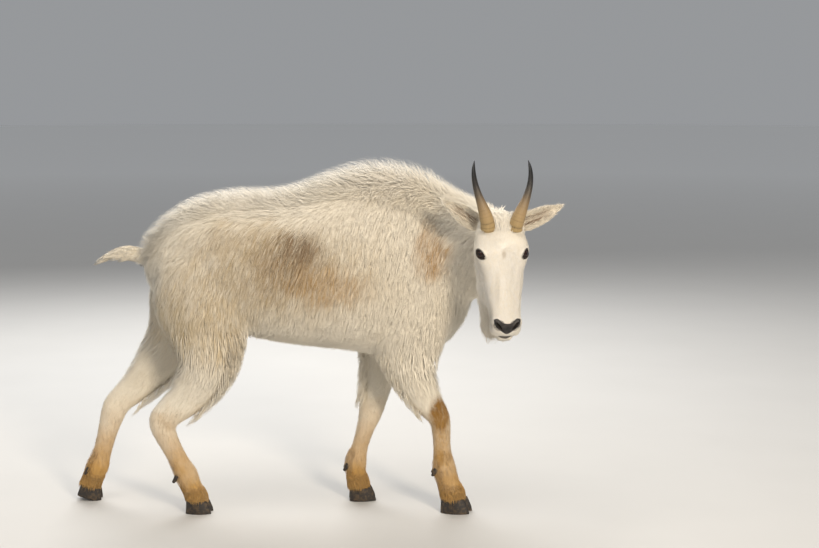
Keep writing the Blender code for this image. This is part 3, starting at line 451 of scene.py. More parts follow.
def bodyLie(points, out):
    x, y, z = points.T
    nz = out[:, 2]
    flank = (smoothstep(0.92, 0.35, nz) * smoothstep(-0.97, -0.6, nz))[:, None]
    lie = np.array([-1.0, 0, -0.05]) * (1 - 0.70 * flank) + np.array([0, 0, -1.05]) * flank
    rear = smoothstep(-0.30, -0.40, x)[:, None]
    lie = lie * (1 - rear) + np.array([-0.25, 0, -1.0]) * rear
    point, normal = (np.array(v) for v in neck["breastCut"])
    ahead = smoothstep(-0.10, 0.05, (points - point) @ normal)[:, None]
    line = np.array(smoothRows(neck["rows"], 4))[:, :3]
    way = unit(np.gradient(line, axis=0))[nearestOn(points, line)]
    side = (smoothstep(0.8, 0.2, nz))[:, None]
    lie = lie * (1 - ahead) + (-way * (1 - 0.45 * side) + np.array([0, 0, -0.85]) * side) * ahead
    for name, rows, way in legLines():
        at = nearestOn(points, rows[:, :3])
        near = np.linalg.norm(points - rows[at, :3], axis=1) / rows[at, 3]
        top = 0.56 if name.startswith("hind") else 0.50
        weight = smoothstep(top, top - 0.10, z) * smoothstep(1.7, 1.15, near)
        lie = lie * (1 - weight[:, None]) + way[at] * weight[:, None]
    dock = (smoothstep(-0.405, -0.425, x) * (z > 0.62) * (np.abs(y) < 0.06))[:, None]
    lie = lie * (1 - dock) + np.array([-1.0, 0, -0.05]) * dock
    return lie


def inHead(points):
    return (points - np.array(skull.translation)) @ np.array(skull.to_3x3())


def headDepth(points, out, through):
    along, left, up = inHead(points).T
    depth = np.full(len(points), 0.0030)
    point, normal = (np.array(v) for v in neck["throatCut"])
    behind = (points - point) @ normal
    depth += 0.0100 * smoothstep(0.085, 0.0, behind)
    depth += 0.0050 * smoothstep(0.020, -0.030, along)
    depth += 0.0030 * smoothstep(-0.085, -0.110, up) * smoothstep(0.22, 0.15, along)
    for side in (1, -1):
        away = np.linalg.norm(inHead(points) - np.array(sided(eye["centre"], side)), axis=1)
        depth += (0.0012 - depth) * smoothstep(0.034, 0.019, away)
    muzzle = smoothstep(0.195, 0.235, along)
    depth += (0.0018 - depth) * muzzle
    away = np.linalg.norm(inHead(points) - np.array(nose["centre"]), axis=1)
    depth += (0.0006 - depth) * smoothstep(0.034, 0.020, away)
    return depth


def headLie(points, out):
    along, left, up = inHead(points).T
    turn = np.array(skull.to_3x3())
    inside = out @ turn
    side = smoothstep(0.35, 0.85, np.abs(inside[:, 1]))
    down = smoothstep(0.045, 0.085, along) - smoothstep(0.045, 0.0, along)
    lie = np.stack([down * (1 - 0.35 * side), 0.30 * np.sign(left) * (1 - side), -0.85 * side], axis=1)
    jaw = smoothstep(-0.2, -0.8, inside[:, 2])[:, None]
    lie = lie * (1 - jaw) + np.array([-0.3, 0, -0.9]) * jaw
    lie = lie @ turn.T
    point, normal = (np.array(v) for v in neck["throatCut"])
    behind = smoothstep(0.06, -0.01, (points - point) @ normal)[:, None]
    return lie * (1 - behind) + np.array([-0.15, 0.75, -0.65]) * behind


def buildBody():
    forms = [loft("trunk", trunkRings()), loft("neck", neckRings(neck["rows"]))]
    forms.append(loft("dock", limbRings(tailDock["rows"])))
    forms += [loft(name, limbRings(rows)) for name, rows in legs.items()]
    return hideOf(fused("body", forms, 0.0070, 12), bodyDepth, bodyLie)


def buildHead():
    forms = [loft("face", headRings(head["face"])), loft("jaw", headRings(head["jaw"]))]
    forms.append(loft("beard", limbRings(head["beard"])))
    forms.append(loft("throat", neckRings(neck["rows"][2:])))
    for side in (1, -1):
        for centre, half in head["bulges"]:
            forms.append(ball("bulge", sided(centre, side), half, skull))
        forms.append(ball("lids", (0, 0, 0), eye["lids"], eyeFrame(side)))
    return hideOf(fused("head", forms, 0.0024, 7), headDepth, headLie)


bodyHide = buildBody()
print("body hide", len(bodyHide["skin"]), "points")
headHide = buildHead()
print("head hide", len(headHide["skin"]), "points")


feet = {
    # middle of the sole, heading, heel lift in degrees, size, spread of the toes
    "hind_right": (-0.268, -0.083, -4.0, 0.0, 0.94, 0.0165),
    "hind_left": (-0.584, 0.055, 3.0, 16.0, 0.92, 0.0155),
    "fore_right": (0.412, -0.078, -14.0, 0.0, 1.08, 0.0185),
    "fore_left": (0.160, 0.052, 4.0, 0.0, 1.00, 0.0170),
}

hoof = {
    "length": 0.072, "width": 0.030, "height": 0.036, "sides": 40,
    # share of the height, share of the length there, shift forward as a share of the length
    "levels": [
        (0.0, 0.985, 0.0), (0.05, 1.0, 0.0), (0.3, 0.97, -0.01), (0.55, 0.915, -0.03), (0.75, 0.87, -0.05),
        (0.92, 0.82, -0.068), (0.985, 0.79, -0.074), (1.0, 0.74, -0.075),
    ],
}
dewclaw = {"length": 0.022, "radius": 0.0080}


def footFrame(name):
    x, y, heading, lift, size, spread = feet[name]
    turn = Matrix.Rotation(math.radians(heading), 4, "Z") @ Matrix.Rotation(math.radians(lift), 4, "Y")
    return Matrix.Translation((x, y, 0)) @ turn, size, spread


def coronet(name, sink=0.0):
    place, size, _ = footFrame(name)
    lift = math.radians(feet[name][3])
    drop = hoof["length"] * size / 2 * math.sin(lift) - 0.0035 if lift else 0.0
    point = place @ Vector((0, 0, hoof["height"] * size)) + Vector((0, 0, drop))
    normal = place.to_3x3() @ Vector((0, 0, 1))
    return point - normal * sink, normal


def halfSpace(point, normal, reach=3.0):
    normal = Vector(normal).normalized()
    turn = normal.to_track_quat("Z", "Y").to_matrix().to_4x4()
    form = bmesh.new()
    bmesh.ops.create_cube(form, size=1.0)
    place = Matrix.Translation(Vector(point)) @ turn @ Matrix.Diagonal((reach, reach, reach, 1.0))
    bmesh.ops.transform(form, matrix=place @ Matrix.Translation((0, 0, 0.5)), verts=form.verts)
    return pieceFrom(form, "half")


def keepSide(piece, point, normal):
    return boolean(piece, "INTERSECT", halfSpace(point, normal))


def keepLargest(piece):
    form = bmesh.new()
    form.from_mesh(piece.data)
    seen, best = set(), []
    for start in form.faces:
        if start in seen:
            continue
        shell, queue = [], [start]
        seen.add(start)
        while queue:
            face = queue.pop()
            shell.append(face)
            for edge in face.edges:
                for other in edge.link_faces:
                    if other not in seen:
                        seen.add(other)
                        queue.append(other)
        if len(shell) > len(best):
            best = shell
    kept = set(best)
    bmesh.ops.delete(form, geom=[face for face in form.faces if face not in kept], context="FACES")
    form.to_mesh(piece.data)
    form.free()
    return piece


def twin(piece, name):
    copy = bpy.data.objects.new(name, piece.data.copy())
    bpy.context.scene.collection.objects.link(copy)
    return copy


# an ear is a leaf-shaped cup, rolled in at its base
ear = {
    "base": (-0.024, 0.050, -0.040), "tips": {1: (-0.079, 0.170, -0.049), -1: (-0.096, -0.140, -0.046)},
    "halfWidth": 0.0215, "depth": 0.016, "wall": 0.0026, "facing": (0.34, 0.12, 0.93),
}


def earAxes(side):
    base, tip = sided(ear["base"], side), Vector(ear["tips"][side])
    axis = (tip - base).normalized()
    facing = sided(ear["facing"], side)
    facing = (facing - axis * facing.dot(axis)).normalized()
    return base, tip, axis, facing


def buildEar(side):
    base, tip, axis, facing = earAxes(side)
    across = facing.cross(axis)
    form = bmesh.new()
    bmesh.ops.create_grid(form, x_segments=22, y_segments=14, size=0.5)
    for vert in form.verts:
        t, c = 1.115 * (vert.co.x + 0.5) - 0.13, 2 * vert.co.y     # rooted well inside the head
        half = ear["halfWidth"] * (math.sin(math.pi * (0.17 + 0.83 * t) ** 0.80) ** 0.85 + 0.05)
        cup = ear["depth"] * (1 - t) ** 0.6 + 0.003
        curl = math.radians(132 - 66 * t)
        middle = base + axis * ((tip - base).length * t) + facing * (0.010 * math.sin(math.pi * t))
        angle = curl * c * 0.62
        sway = half * math.sin(angle) / math.sin(curl * 0.62)
        vert.co = skull @ (middle + across * sway + facing * cup * (-math.cos(angle)))
    shell = pieceFrom(form, "ear")
    wall = shell.modifiers.new("wall", "SOLIDIFY")
    wall.thickness = ear["wall"]
    wall.offset = 0.0
    applied(shell)
    form = bmesh.new()
    form.from_mesh(shell.data)
    bmesh.ops.recalc_face_normals(form, faces=form.faces)
    bmesh.ops.triangulate(form, faces=form.faces)
    form.to_mesh(shell.data)
    form.free()

    def depthOf(points, out, through):
        return np.full(len(points), 0.0006)

    def lieOf(points, out):
        way = skull.to_3x3() @ axis
        return np.tile(np.array(way), (len(points), 1))
    return hideOf(shell, depthOf, lieOf)


def noseShape(low, high):
    out = Vector(nose["out"]).normalized()
    down = Vector((out.z, 0, -out.x))
    outline = [Vector((row[0], row[1])) for row in smoothRows(nose["outline"], 5)]
    outline = outline + [Vector((-p.x, p.y)) for p in outline[-2:0:-1]]
    rings = []
    for height in (low, high):
        ring = []
        for p in outline:
            point = Vector(nose["centre"]) + Vector((0, 1, 0)) * p.x + down * p.y + out * height
            ring.append(skull @ point)
        rings.append(ring)
    return loft("noseShape", rings)


def nostrilFrame(side):
    spot, along, out = (sided(nose[key], side) for key in ("nostril", "nostrilAlong", "nostrilOut"))
    return frameAt(spot, along, out)


def mouthBlade():
    front, corner = Vector(mouth["front"]), Vector(mouth["corner"])
    rings = []
    for k in range(17):
        t = k / 16
        along = corner.x + (front.x - corner.x) * t
        level = corner.y + (front.y - corner.y) * t - 0.004 * math.sin(math.pi * t)
        half = mouth["gape"] / 2 * min(1.0, 0.25 + 3 * t)
        corners = [(0.06, half), (-0.06, half), (-0.06, -half), (0.06, -half)]
        rings.append([skull @ Vector((along, s, level + u)) for s, u in corners])
    blade = loft("mouthBlade", rings)
    size = (0.09, 0.036 - mouth["depth"], 0.03)
    core = ball("mouthCore", (0.258 - mouth["depth"] - size[0], 0, front.y), size, skull)
    return boolean(blade, "DIFFERENCE", core)


def openFace(piece):
    for side in (1, -1):
        place = eyeFrame(side)
        boolean(piece, "DIFFERENCE", ball("socket", (0, 0, 0), (eye["radius"] + 0.0002,) * 3, place))
        wide, tall = eye["opening"]
        reach = (wide ** 2 + tall ** 2) / (2 * tall)          # two discs cross in an almond
        upper, lower = (ball("opening", (0, y, eye["radius"] + 0.003), (reach, reach, 0.014), place)
                        for y in (reach - tall, tall - reach))
        boolean(piece, "DIFFERENCE", boolean(upper, "INTERSECT", lower))
        boolean(piece, "DIFFERENCE", ball("nostril", (0, 0, 0), nose["nostrilSize"], nostrilFrame(side)))
    boolean(piece, "DIFFERENCE", mouthBlade())
    return keepLargest(piece)


def buildSkin():
    point, normal = Vector(neck["throatCut"][0]), Vector(neck["throatCut"][1])
    body = keepSide(bodyHide["piece"], point + normal * 0.006, -normal)
    face = keepSide(headHide["piece"], point - normal * 0.006, normal)
    openFace(face)
    boolean(body, "UNION", face)
    for name in legs:
        low, up = coronet(name, 0.006)
        tool = halfSpace(low, -up, 0.12)     # trims the leg inside its hooves
        boolean(body, "DIFFERENCE", tool)
    for hide in earHides.values():
        boolean(body, "UNION", hide["piece"])
    keepLargest(body)
    points, edges, _ = readMesh(body.data)
    behind = np.abs((points - np.array(point)) @ np.array(normal))
    smooth = evened(edges, points, 12)
    points += (smooth - points) * smoothstep(0.020, 0.008, behind)[:, None]
    body.data.vertices.foreach_set("co", points.ravel())
    body.data.update()
    body.name = body.data.name = "skin"
    return body


earHides = {side: buildEar(side) for side in (1, -1)}
rawFace = twin(headHide["piece"], "rawFace")
rawFace.data.vertices.foreach_set("co", headHide["tips"].ravel())
skin = buildSkin()
print("skin", len(skin.data.polygons), "faces")


# where bare skin shows: the rims of the lids, and in the cup of an ear, with the place on the ear
def noteBareSkin():
    points, _, faces = readMesh(skin.data)
    out = outwards(points, faces)
    share, spot = np.zeros(len(points)), np.zeros((len(points), 3))
    for side in (1, -1):
        base, tip, axis, facing = earAxes(side)
        turn = np.array(skull.to_3x3())
        toTip, front = turn @ np.array(axis), turn @ np.array(facing)
        off = points - np.array(skull @ base)
        along, across = off @ toTip / (tip - base).length, off @ np.cross(front, toTip) / ear["halfWidth"]
        mine = (along > -0.1) & (along < 1.1) & (np.linalg.norm(off, axis=1) < 0.2)
        mine &= np.abs(off @ front) < 0.03
        cup = smoothstep(1.00, 0.40, np.abs(across)) * smoothstep(0.02, 0.20, along)
        cup = cup * smoothstep(0.95, 0.55, along) * smoothstep(0.05, 0.45, out @ front) * mine
        spot[cup > 0] = np.stack([along, across, np.full(len(points), side * 0.5)], axis=1)[cup > 0]
        share = np.maximum(share, cup)
    lids = np.zeros(len(points))
    for side in (1, -1):
        place = eyeFrame(side)
        off = (points - np.array(place.translation)) @ np.array(place.to_3x3())
        wide, tall = eye["opening"][0] + 0.0008, eye["opening"][1] + 0.0004
        edge = np.sqrt((off[:, 0] / wide) ** 2 + (off[:, 1] / tall) ** 2)
        near = (np.linalg.norm(off, axis=1) < 0.024) & (off[:, 2] > -0.004)
        lids = np.maximum(lids, smoothstep(1.22, 1.02, edge) * near)
    note(skin, "lids", "FLOAT", lids)
    note(skin, "cup", "FLOAT", share)
    note(skin, "inCup", "FLOAT_VECTOR", spot)


def shaded(piece, angle=40):
    piece.data.shade_smooth()
    piece.data.set_sharp_from_angle(angle=math.radians(angle))
    return piece


def note(piece, name, kind, values):
    layer = piece.data.attributes.new(name, kind, "POINT")
    field = "vector" if kind == "FLOAT_VECTOR" else "value"
    layer.data.foreach_set(field, np.asarray(values, np.float32).ravel())


def buildEye(side):
    place = eyeFrame(side)
    ballPiece = ball("eye" + sideName(side), (0, 0, 0), (eye["radius"],) * 3, place, rings=48)
    points, _, _ = readMesh(ballPiece.data)
    gaze = (points - np.array(place.translation)) @ np.array(place.to_3x3()) / eye["radius"]
    bulge = 0.0007 * smoothstep(0.80, 0.95, gaze[:, 2])          # the clear front stands out a little
    points += np.array(place.to_3x3() @ Vector((0, 0, 1))) * bulge[:, None]
    ballPiece.data.vertices.foreach_set("co", points.ravel())
    note(ballPiece, "gaze", "FLOAT_VECTOR", gaze)
    return shaded(ballPiece)


def sideName(side):
    return "Left" if side > 0 else "Right"


horn = {
    "base": (-0.006, 0.0345, -0.012), "length": 0.184, "lean": (48.0, -12.0), "steps": 150, "sides": 36,
    # how far the pair bows apart, turns in again at its tips and leans to the goat's left
    "bow": 118.0, "hook": 12.0, "drift": 0.018,
    # share of the length, radius
    "radii": [
        (0.00, 0.0192), (0.12, 0.0180), (0.24, 0.0158), (0.37, 0.0124), (0.51, 0.0094), (0.75, 0.0064),
        (0.90, 0.0040), (1.00, 0.0008),
    ],
    "rings": 7, "ringed": 0.42, "ridge": 0.0005,
}


def hornPath(side):
    point = sided(horn["base"], side)
    points = [point.copy()]
    for k in range(horn["steps"]):
        t = (k + 0.5) / horn["steps"]
        lean = math.radians(horn["lean"][0] + (horn["lean"][1] - horn["lean"][0]) * t ** 0.8)
        splay = math.radians(horn["bow"] * t * (1 - t) ** 1.8 + 4 * (1 - t) - horn["hook"] * t ** 4)
        aside = math.sin(splay) * side + horn["drift"]
        step = Vector((-math.cos(lean) * math.cos(splay), aside, math.sin(lean) * math.cos(splay)))
        point = point + step * (horn["length"] / horn["steps"])
        points.append(point.copy())
    return points


def buildHorn(side):
    rings, along, turn, grooves = [], [], [], []
    shares, radii = zip(*smoothRows(horn["radii"], 8))
    for k, (point, _, across, up) in enumerate(pathFrames(hornPath(side))):
        t = k / horn["steps"]
        radius = float(np.interp(t, shares, radii))
        # growth rings crowd and spread unevenly towards the base
        wave = (t / horn["ringed"] * horn["rings"] + 0.28 * math.sin(31 * t + side)) % 1
        fade = float(smoothstep(horn["ringed"], horn["ringed"] * 0.40, t))
        fade *= 0.65 + 0.35 * math.sin(17 * t + 1)
        groove = fade * math.exp(-((min(wave, 1 - wave)) / 0.11) ** 2)
        radius -= horn["ridge"] * groove
        grooves += [groove] * horn["sides"]
        offsets = oval(radius * 0.97, radius * 1.04, radius * 1.04, count=horn["sides"])
        rings.append([skull @ (point + across * s + up * u) for s, u in offsets])
        along += [t] * horn["sides"]
        turn += [(math.cos(2 * math.pi * j / horn["sides"]), math.sin(2 * math.pi * j / horn["sides"]), 0)
                 for j in range(horn["sides"])]
    piece = loft("horn" + sideName(side), rings)
    note(piece, "along", "FLOAT", along)
    note(piece, "groove", "FLOAT", grooves)
    note(piece, "turn", "FLOAT_VECTOR", turn)
    return shaded(piece)


def buildNose():
    pad = twin(rawFace, "nosePad")
    boolean(pad, "INTERSECT", noseShape(-nose["depth"], 0.05))
    for side in (1, -1):
        boolean(pad, "DIFFERENCE", ball("nostril", (0, 0, 0), nose["nostrilSize"], nostrilFrame(side)))
    keepLargest(pad)
    return shaded(pad, 50)


def buildHoof(name, side):
    place, size, spread = footFrame(name)
    lift = math.radians(feet[name][3])
    length, width, height = hoof["length"] * size, hoof["width"] * size, hoof["height"] * size
    rings = []
    for level, shorter, back in smoothRows(hoof["levels"], 5):
        ring = []
        for k in range(hoof["sides"]):
            angle = 2 * math.pi * k / hoof["sides"]
            c, s = math.cos(angle), math.sin(angle)
            taper = 1 - 0.42 * max(0.0, c) ** 2
            across = s * width / 2 * taper * (0.82 + 0.18 * shorter)
            if s * side < 0:
                across *= 0.72
            across *= min(1.0, 0.93 + 2 * min(level, 1 - level))
            ring.append(place @ Vector((c * length / 2 * shorter + back * length, side * spread + across,
                                        level * height)))
        rings.append(ring)
    toe = loft("toe", rings)
    if lift:
        points, _, _ = readMesh(toe.data)
        toe.data.transform(Matrix.Translation((0, 0, -(points[:, 2].min() + 0.0035))))
        keepSide(toe, (0, 0, 0), (0, 0, 1))
    return toe


def buildDewclaw(name, side):
    fetlock = Vector(legs[name][-4][:3])
    root = fetlock + Vector((-legs[name][-4][3] * 0.58, side * 0.0150, -0.002))
    tip = root + Vector((-0.0125, side * 0.004, -dewclaw["length"] * 0.8))
    form = bmesh.new()
    bmesh.ops.create_cone(form, cap_ends=True, segments=20, radius1=dewclaw["radius"],
                          radius2=dewclaw["radius"] * 0.45, depth=dewclaw["length"])
    rims = [edge for edge in form.edges if len(edge.link_faces) == 2 and edge.calc_face_angle() > 1]
    bmesh.ops.bevel(form, geom=rims, offset=0.0022, segments=4, profile=0.5, affect="EDGES", material=-1)
    turn = (tip - root).to_track_quat("Z", "Y").to_matrix().to_4x4()
    bmesh.ops.transform(form, matrix=Matrix.Translation((root + tip) / 2) @ turn, verts=form.verts)
    bmesh.ops.recalc_face_normals(form, faces=form.faces)
    return pieceFrom(form, "claw")


def scatter(hide, faces, count, chance, grain):
    corners = hide["faces"][faces]
    a, b, c = (hide["skin"][corners[:, k]] for k in range(3))
    weight = np.linalg.norm(np.cross(b - a, c - a), axis=1) / grain(hide, corners) ** 2
    reach = np.cumsum(weight)
    marks = (np.arange(count) + chance.random(count)) / count * reach[-1]
    pick = corners[np.minimum(np.searchsorted(reach, marks), len(corners) - 1)]
    u, v = chance.random(count), chance.random(count)
    flip = u + v > 1
    u[flip], v[flip] = 1 - u[flip], 1 - v[flip]
    share = np.stack([1 - u - v, u, v], axis=1)

    def mixed(field):
        found = field[pick]
        return (found * share.reshape(share.shape + (1,) * (found.ndim - 2))).sum(1)
    return {"root": mixed(hide["skin"]), "out": unit(mixed(hide["out"])), "lie": unit(mixed(hide["lie"])),
            "depth": mixed(hide["depth"])}


def laidOver(hide, spots, length, rise):
    ends = spots["root"] + spots["lie"] * length[:, None]
    base, out = ends.copy(), spots["out"].copy()
    for k, end in enumerate(ends):
        place, normal, _, _ = hide["tree"].find_nearest(Vector(end))
        base[k], out[k] = place, normal
    lost = dot(out, spots["out"]) < 0.5         # across a gap or over an edge: the tuft goes straight on
    base, out = np.where(lost, ends, base), np.where(lost, spots["out"], out)
    out = unit(out + 0.3 * spots["out"])
    return base + out * rise[:, None], out


def byDepth(hide, corners):
    return (hide["depth"][corners].mean(1) / 0.010) ** 0.85


def grow(hide, faces, look, seed):
    chance = np.random.default_rng(seed)
    count = look["count"]
    spots = scatter(hide, faces, count, chance, look.get("grain", byDepth))
    guides = scatter(hide, faces, max(count // look["perClump"], 8), chance, look.get("grain", byDepth))
    tree = KDTree(len(guides["root"]))
    for k, place in enumerate(guides["root"]):
        tree.insert(Vector(place), k)
    tree.balance()
    near = np.array([tree.find(Vector(place))[1] for place in spots["root"]])
    clumps = len(guides["root"])
    turn = chance.normal(0, look["stray"], clumps)[near] + chance.normal(0, look["stray"] * 0.6, count)
    across = np.cross(spots["out"], spots["lie"])
    spots["lie"] = spots["lie"] * np.cos(turn)[:, None] + across * np.sin(turn)[:, None]
    long = chance.uniform(0.84, 1.12, clumps)[near] * chance.uniform(0.80, 1.15, count)
    if "length" in look:
        length = look["length"] * long
        rise = look["height"] * chance.uniform(0.65, 1.0, count)
    else:
        length = spots["depth"] * look["reach"] * long
        rise = spots["depth"] * look["rise"] * chance.uniform(0.55, 1.0, count) * np.sqrt(long)
    if "taper" in look:
        share = look["taper"](spots["root"])
        length, rise = length * share, rise * share
    if "pull" in look:
        spots["lie"] = unit(spots["lie"] + np.array(look["pull"]))
    tip, tipOut = laidOver(hide, spots, length, rise)
    guides["lie"] = unit(guides["lie"] + np.array(look.get("pull", (0, 0, 0))))
    guideLength = np.bincount(near, length, clumps) / np.maximum(np.bincount(near, minlength=clumps), 1)
    guideTip, _ = laidOver(hide, guides, guideLength, guideLength * 0)
    drift = guideTip[near] + tipOut * rise[:, None] - tip
    drift *= np.minimum(1.0, 0.5 * length / np.maximum(np.linalg.norm(drift, axis=1), 1e-6))[:, None]
    tip = tip + drift * look["clump"] * chance.uniform(0.6, 1.2, count)[:, None]
    width = look["width"] * look.get("slim", length) * chance.uniform(0.75, 1.25, count)
    spots["root"] += spots["out"] * (look.get("lift", 0.0) * rise)[:, None]
    shade = chance.random(count) * 0.6 + chance.random(clumps)[near] * 0.4
    sway = chance.normal(0, look.get("wave", 0.04), count)
    return {"root": spots["root"], "out": spots["out"], "tip": tip, "tipOut": tipOut, "length": length,
            "rise": rise, "width": width, "shade": shade, "sway": sway, "rings": look["rings"],
            "bow": look.get("bow", 0.55), "free": look.get("free", False)}


# how far along each ring of a tuft lies
ringLevels = {1: (0.0,), 2: (-0.08, 0.46), 3: (-0.06, 0.34, 0.70)}


# the points of every tuft, how far along they lie, and normals that lean towards the hide's own
def tuftArrays(tufts):
    span = tufts["tip"] - tufts["root"]
    onward = span - tufts["out"] * dot(span, tufts["out"])
    lift = tufts["rise"] * tufts["bow"] + tufts["length"] * 0.12
    bend = tufts["root"] + onward * 0.30 + tufts["out"] * lift[:, None]
    sideways = unit(np.cross(unit(span), tufts["out"]))
    bend = bend + sideways * (tufts["sway"] * tufts["length"])[:, None]
    if tufts["rings"] == 1:
        bend = (tufts["root"] + tufts["tip"]) / 2
    points, along, normals = [], [], []
    for t in ringLevels[tufts["rings"]]:
        place = (1 - t) ** 2 * tufts["root"] + 2 * t * (1 - t) * bend + t * t * tufts["tip"]
        way = unit((1 - t) * (bend - tufts["root"]) + t * (tufts["tip"] - bend))
        hideUp = tufts["out"] * (1 - max(t, 0)) + tufts["tipOut"] * max(t, 0)
        side = unit(np.cross(way, hideUp))
        up = np.cross(side, way)
        half = (tufts["width"] * 0.5 * (1 - max(t, 0) ** 2.4) * (0.72 if t < 0 else 1.0))[:, None]
        points += [place - side * half, place + up * half * 0.40, place + side * half]
        soft = unit(up * 0.28 + hideUp * 0.72)
        normals += [unit(soft - side * 0.30), soft, unit(soft + side * 0.30)]
        along += [max(t, 0.0)] * 3
    points.append(tufts["tip"])
    normals.append(tufts["tipOut"])
    along.append(1.0)
    points = np.stack(points, axis=1)
    points[:, :, 2] = np.maximum(points[:, :, 2], 0.0008)
    return points, np.array(along), np.stack(normals, axis=1)


bakePatch = 0.003          # each tuft's square on the map for baking


def coatPiece(name, groups, unwrap):
    verts, uvs, alongs, shades, places, normals = [], [], [], [], [], []
    loops, starts, totals = [], [], []
    vertBase = loopBase = 0
    for tufts in groups:
        rings = tufts["rings"]
        pattern = [(3 * r + k, 3 * r + (k + 1) % 3, 3 * r + 3 + (k + 1) % 3, 3 * r + 3 + k)
                   for r in range(rings - 1) for k in range(3)]
        last = 3 * (rings - 1)
        pattern += [(last + k, last + (k + 1) % 3, 3 * rings) for k in range(3)] + [(2, 1, 0)]
        points, along, leaning = tuftArrays(tufts)
        count, per = points.shape[:2]
        flat = np.array([k for face in pattern for k in face])
        loops.append((np.arange(count)[:, None] * per + flat[None, :] + vertBase).ravel())
        sizes = np.array([len(face) for face in pattern])
        totals.append(np.tile(sizes, count))
        starts.append((np.arange(count)[:, None] * sizes.sum()
                       + np.concatenate([[0], np.cumsum(sizes)[:-1]])[None, :] + loopBase).ravel())
        vertBase += count * per
        loopBase += count * sizes.sum()
        u, v = unwrap(tufts["root"])
        patch = np.array([((k % 3) / 2 if k < per - 1 else 0.5) - 0.5 for k in range(per)]) * bakePatch
        lengthwise = (along - 0.5) * bakePatch
        square = [u[:, None] + patch[None, :], v[:, None] + lengthwise[None, :]]
        uvs.append(np.stack(square, axis=2).reshape(-1, 2))
        verts.append(points.reshape(-1, 3))
        # tufts that hang free keep the normals of their own faces
        normals.append(leaning.reshape(-1, 3) * (0.0 if tufts["free"] else 1.0))
        alongs.append(np.tile(along, count))
        shades.append(np.repeat(tufts["shade"], per))
        places.append(np.repeat(tufts["root"] + np.array(home), per, axis=0))
    verts, loops = np.concatenate(verts), np.concatenate(loops)
    mesh = bpy.data.meshes.new(name)
    mesh.vertices.add(len(verts))
    mesh.vertices.foreach_set("co", verts.ravel())
    mesh.loops.add(len(loops))
    mesh.loops.foreach_set("vertex_index", loops)
    starts = np.concatenate(starts)
    mesh.polygons.add(len(starts))
    mesh.polygons.foreach_set("loop_start", starts)
    mesh.update(calc_edges=True)
    uvMap = mesh.uv_layers.new(name="OFBake")
    uvMap.data.foreach_set("uv", np.concatenate(uvs)[loops].astype(np.float32).ravel())
    piece = bpy.data.objects.new(name, mesh)
    bpy.context.scene.collection.objects.link(piece)
    note(piece, "along", "FLOAT", np.concatenate(alongs))
    note(piece, "shade", "FLOAT", np.concatenate(shades))
    note(piece, "place", "FLOAT_VECTOR", np.concatenate(places))
    mesh.shade_smooth()
    mesh.normals_split_custom_set_from_vertices(np.concatenate(normals).tolist())
    triangles = sum(len(t["root"]) * (6 * t["rings"] - 2) for t in groups)
    print(name, triangles, "triangles")
    return piece


# a tuft's patch lies at its root's place on an unwrap of the skin: round a centre line, and along it
def unwrapAlong(line, hint=(0, 1, 0), half=0):
    line = np.array(line, float)
    way = unit(np.gradient(line, axis=0))
    side = unit(np.array(hint) - way * (way @ np.array(hint))[:, None])
    up = np.cross(way, side)
    reach = np.concatenate([[0], np.cumsum(np.linalg.norm(np.diff(line, axis=0), axis=1))])

    def unwrap(points):
        at = nearestOn(points, line)
        off = points - line[at]
        turn = np.arctan2((off * side[at]).sum(1), (off * up[at]).sum(1)) / (2 * math.pi)
        u = np.abs(turn) * 2 if half else turn + 0.5
        v = (reach[at] + (off * way[at]).sum(1)) / reach[-1]
        return 0.01 + 0.98 * np.clip(u, 0, 1), 0.04 + 0.92 * np.clip(v, -0.03, 1.03)
    return unwrap


crest = {"halfWidth": 0.068, "lowest": 0.50}


def spineAside(points):
    overTrunk = [(row[0], 0.0) for row in trunk["rows"][1:10]]
    spine = np.array(smoothRows(overTrunk + [row[:2] for row in neck["rows"][1:7]], 8))
    return np.sqrt(((points[:, None, :2] - spine[None]) ** 2).sum(-1)).min(1)


# crest hair is longest on the spine and over the hump, and short again where it meets the head
def crestShare(points):
    hump = 1 + 0.28 * smoothstep(-0.05, 0.15, points[:, 0]) - 0.68 * smoothstep(0.330, 0.450, points[:, 0])
    return hump * (1 - 0.50 * smoothstep(0.020, crest["halfWidth"], spineAside(points)))


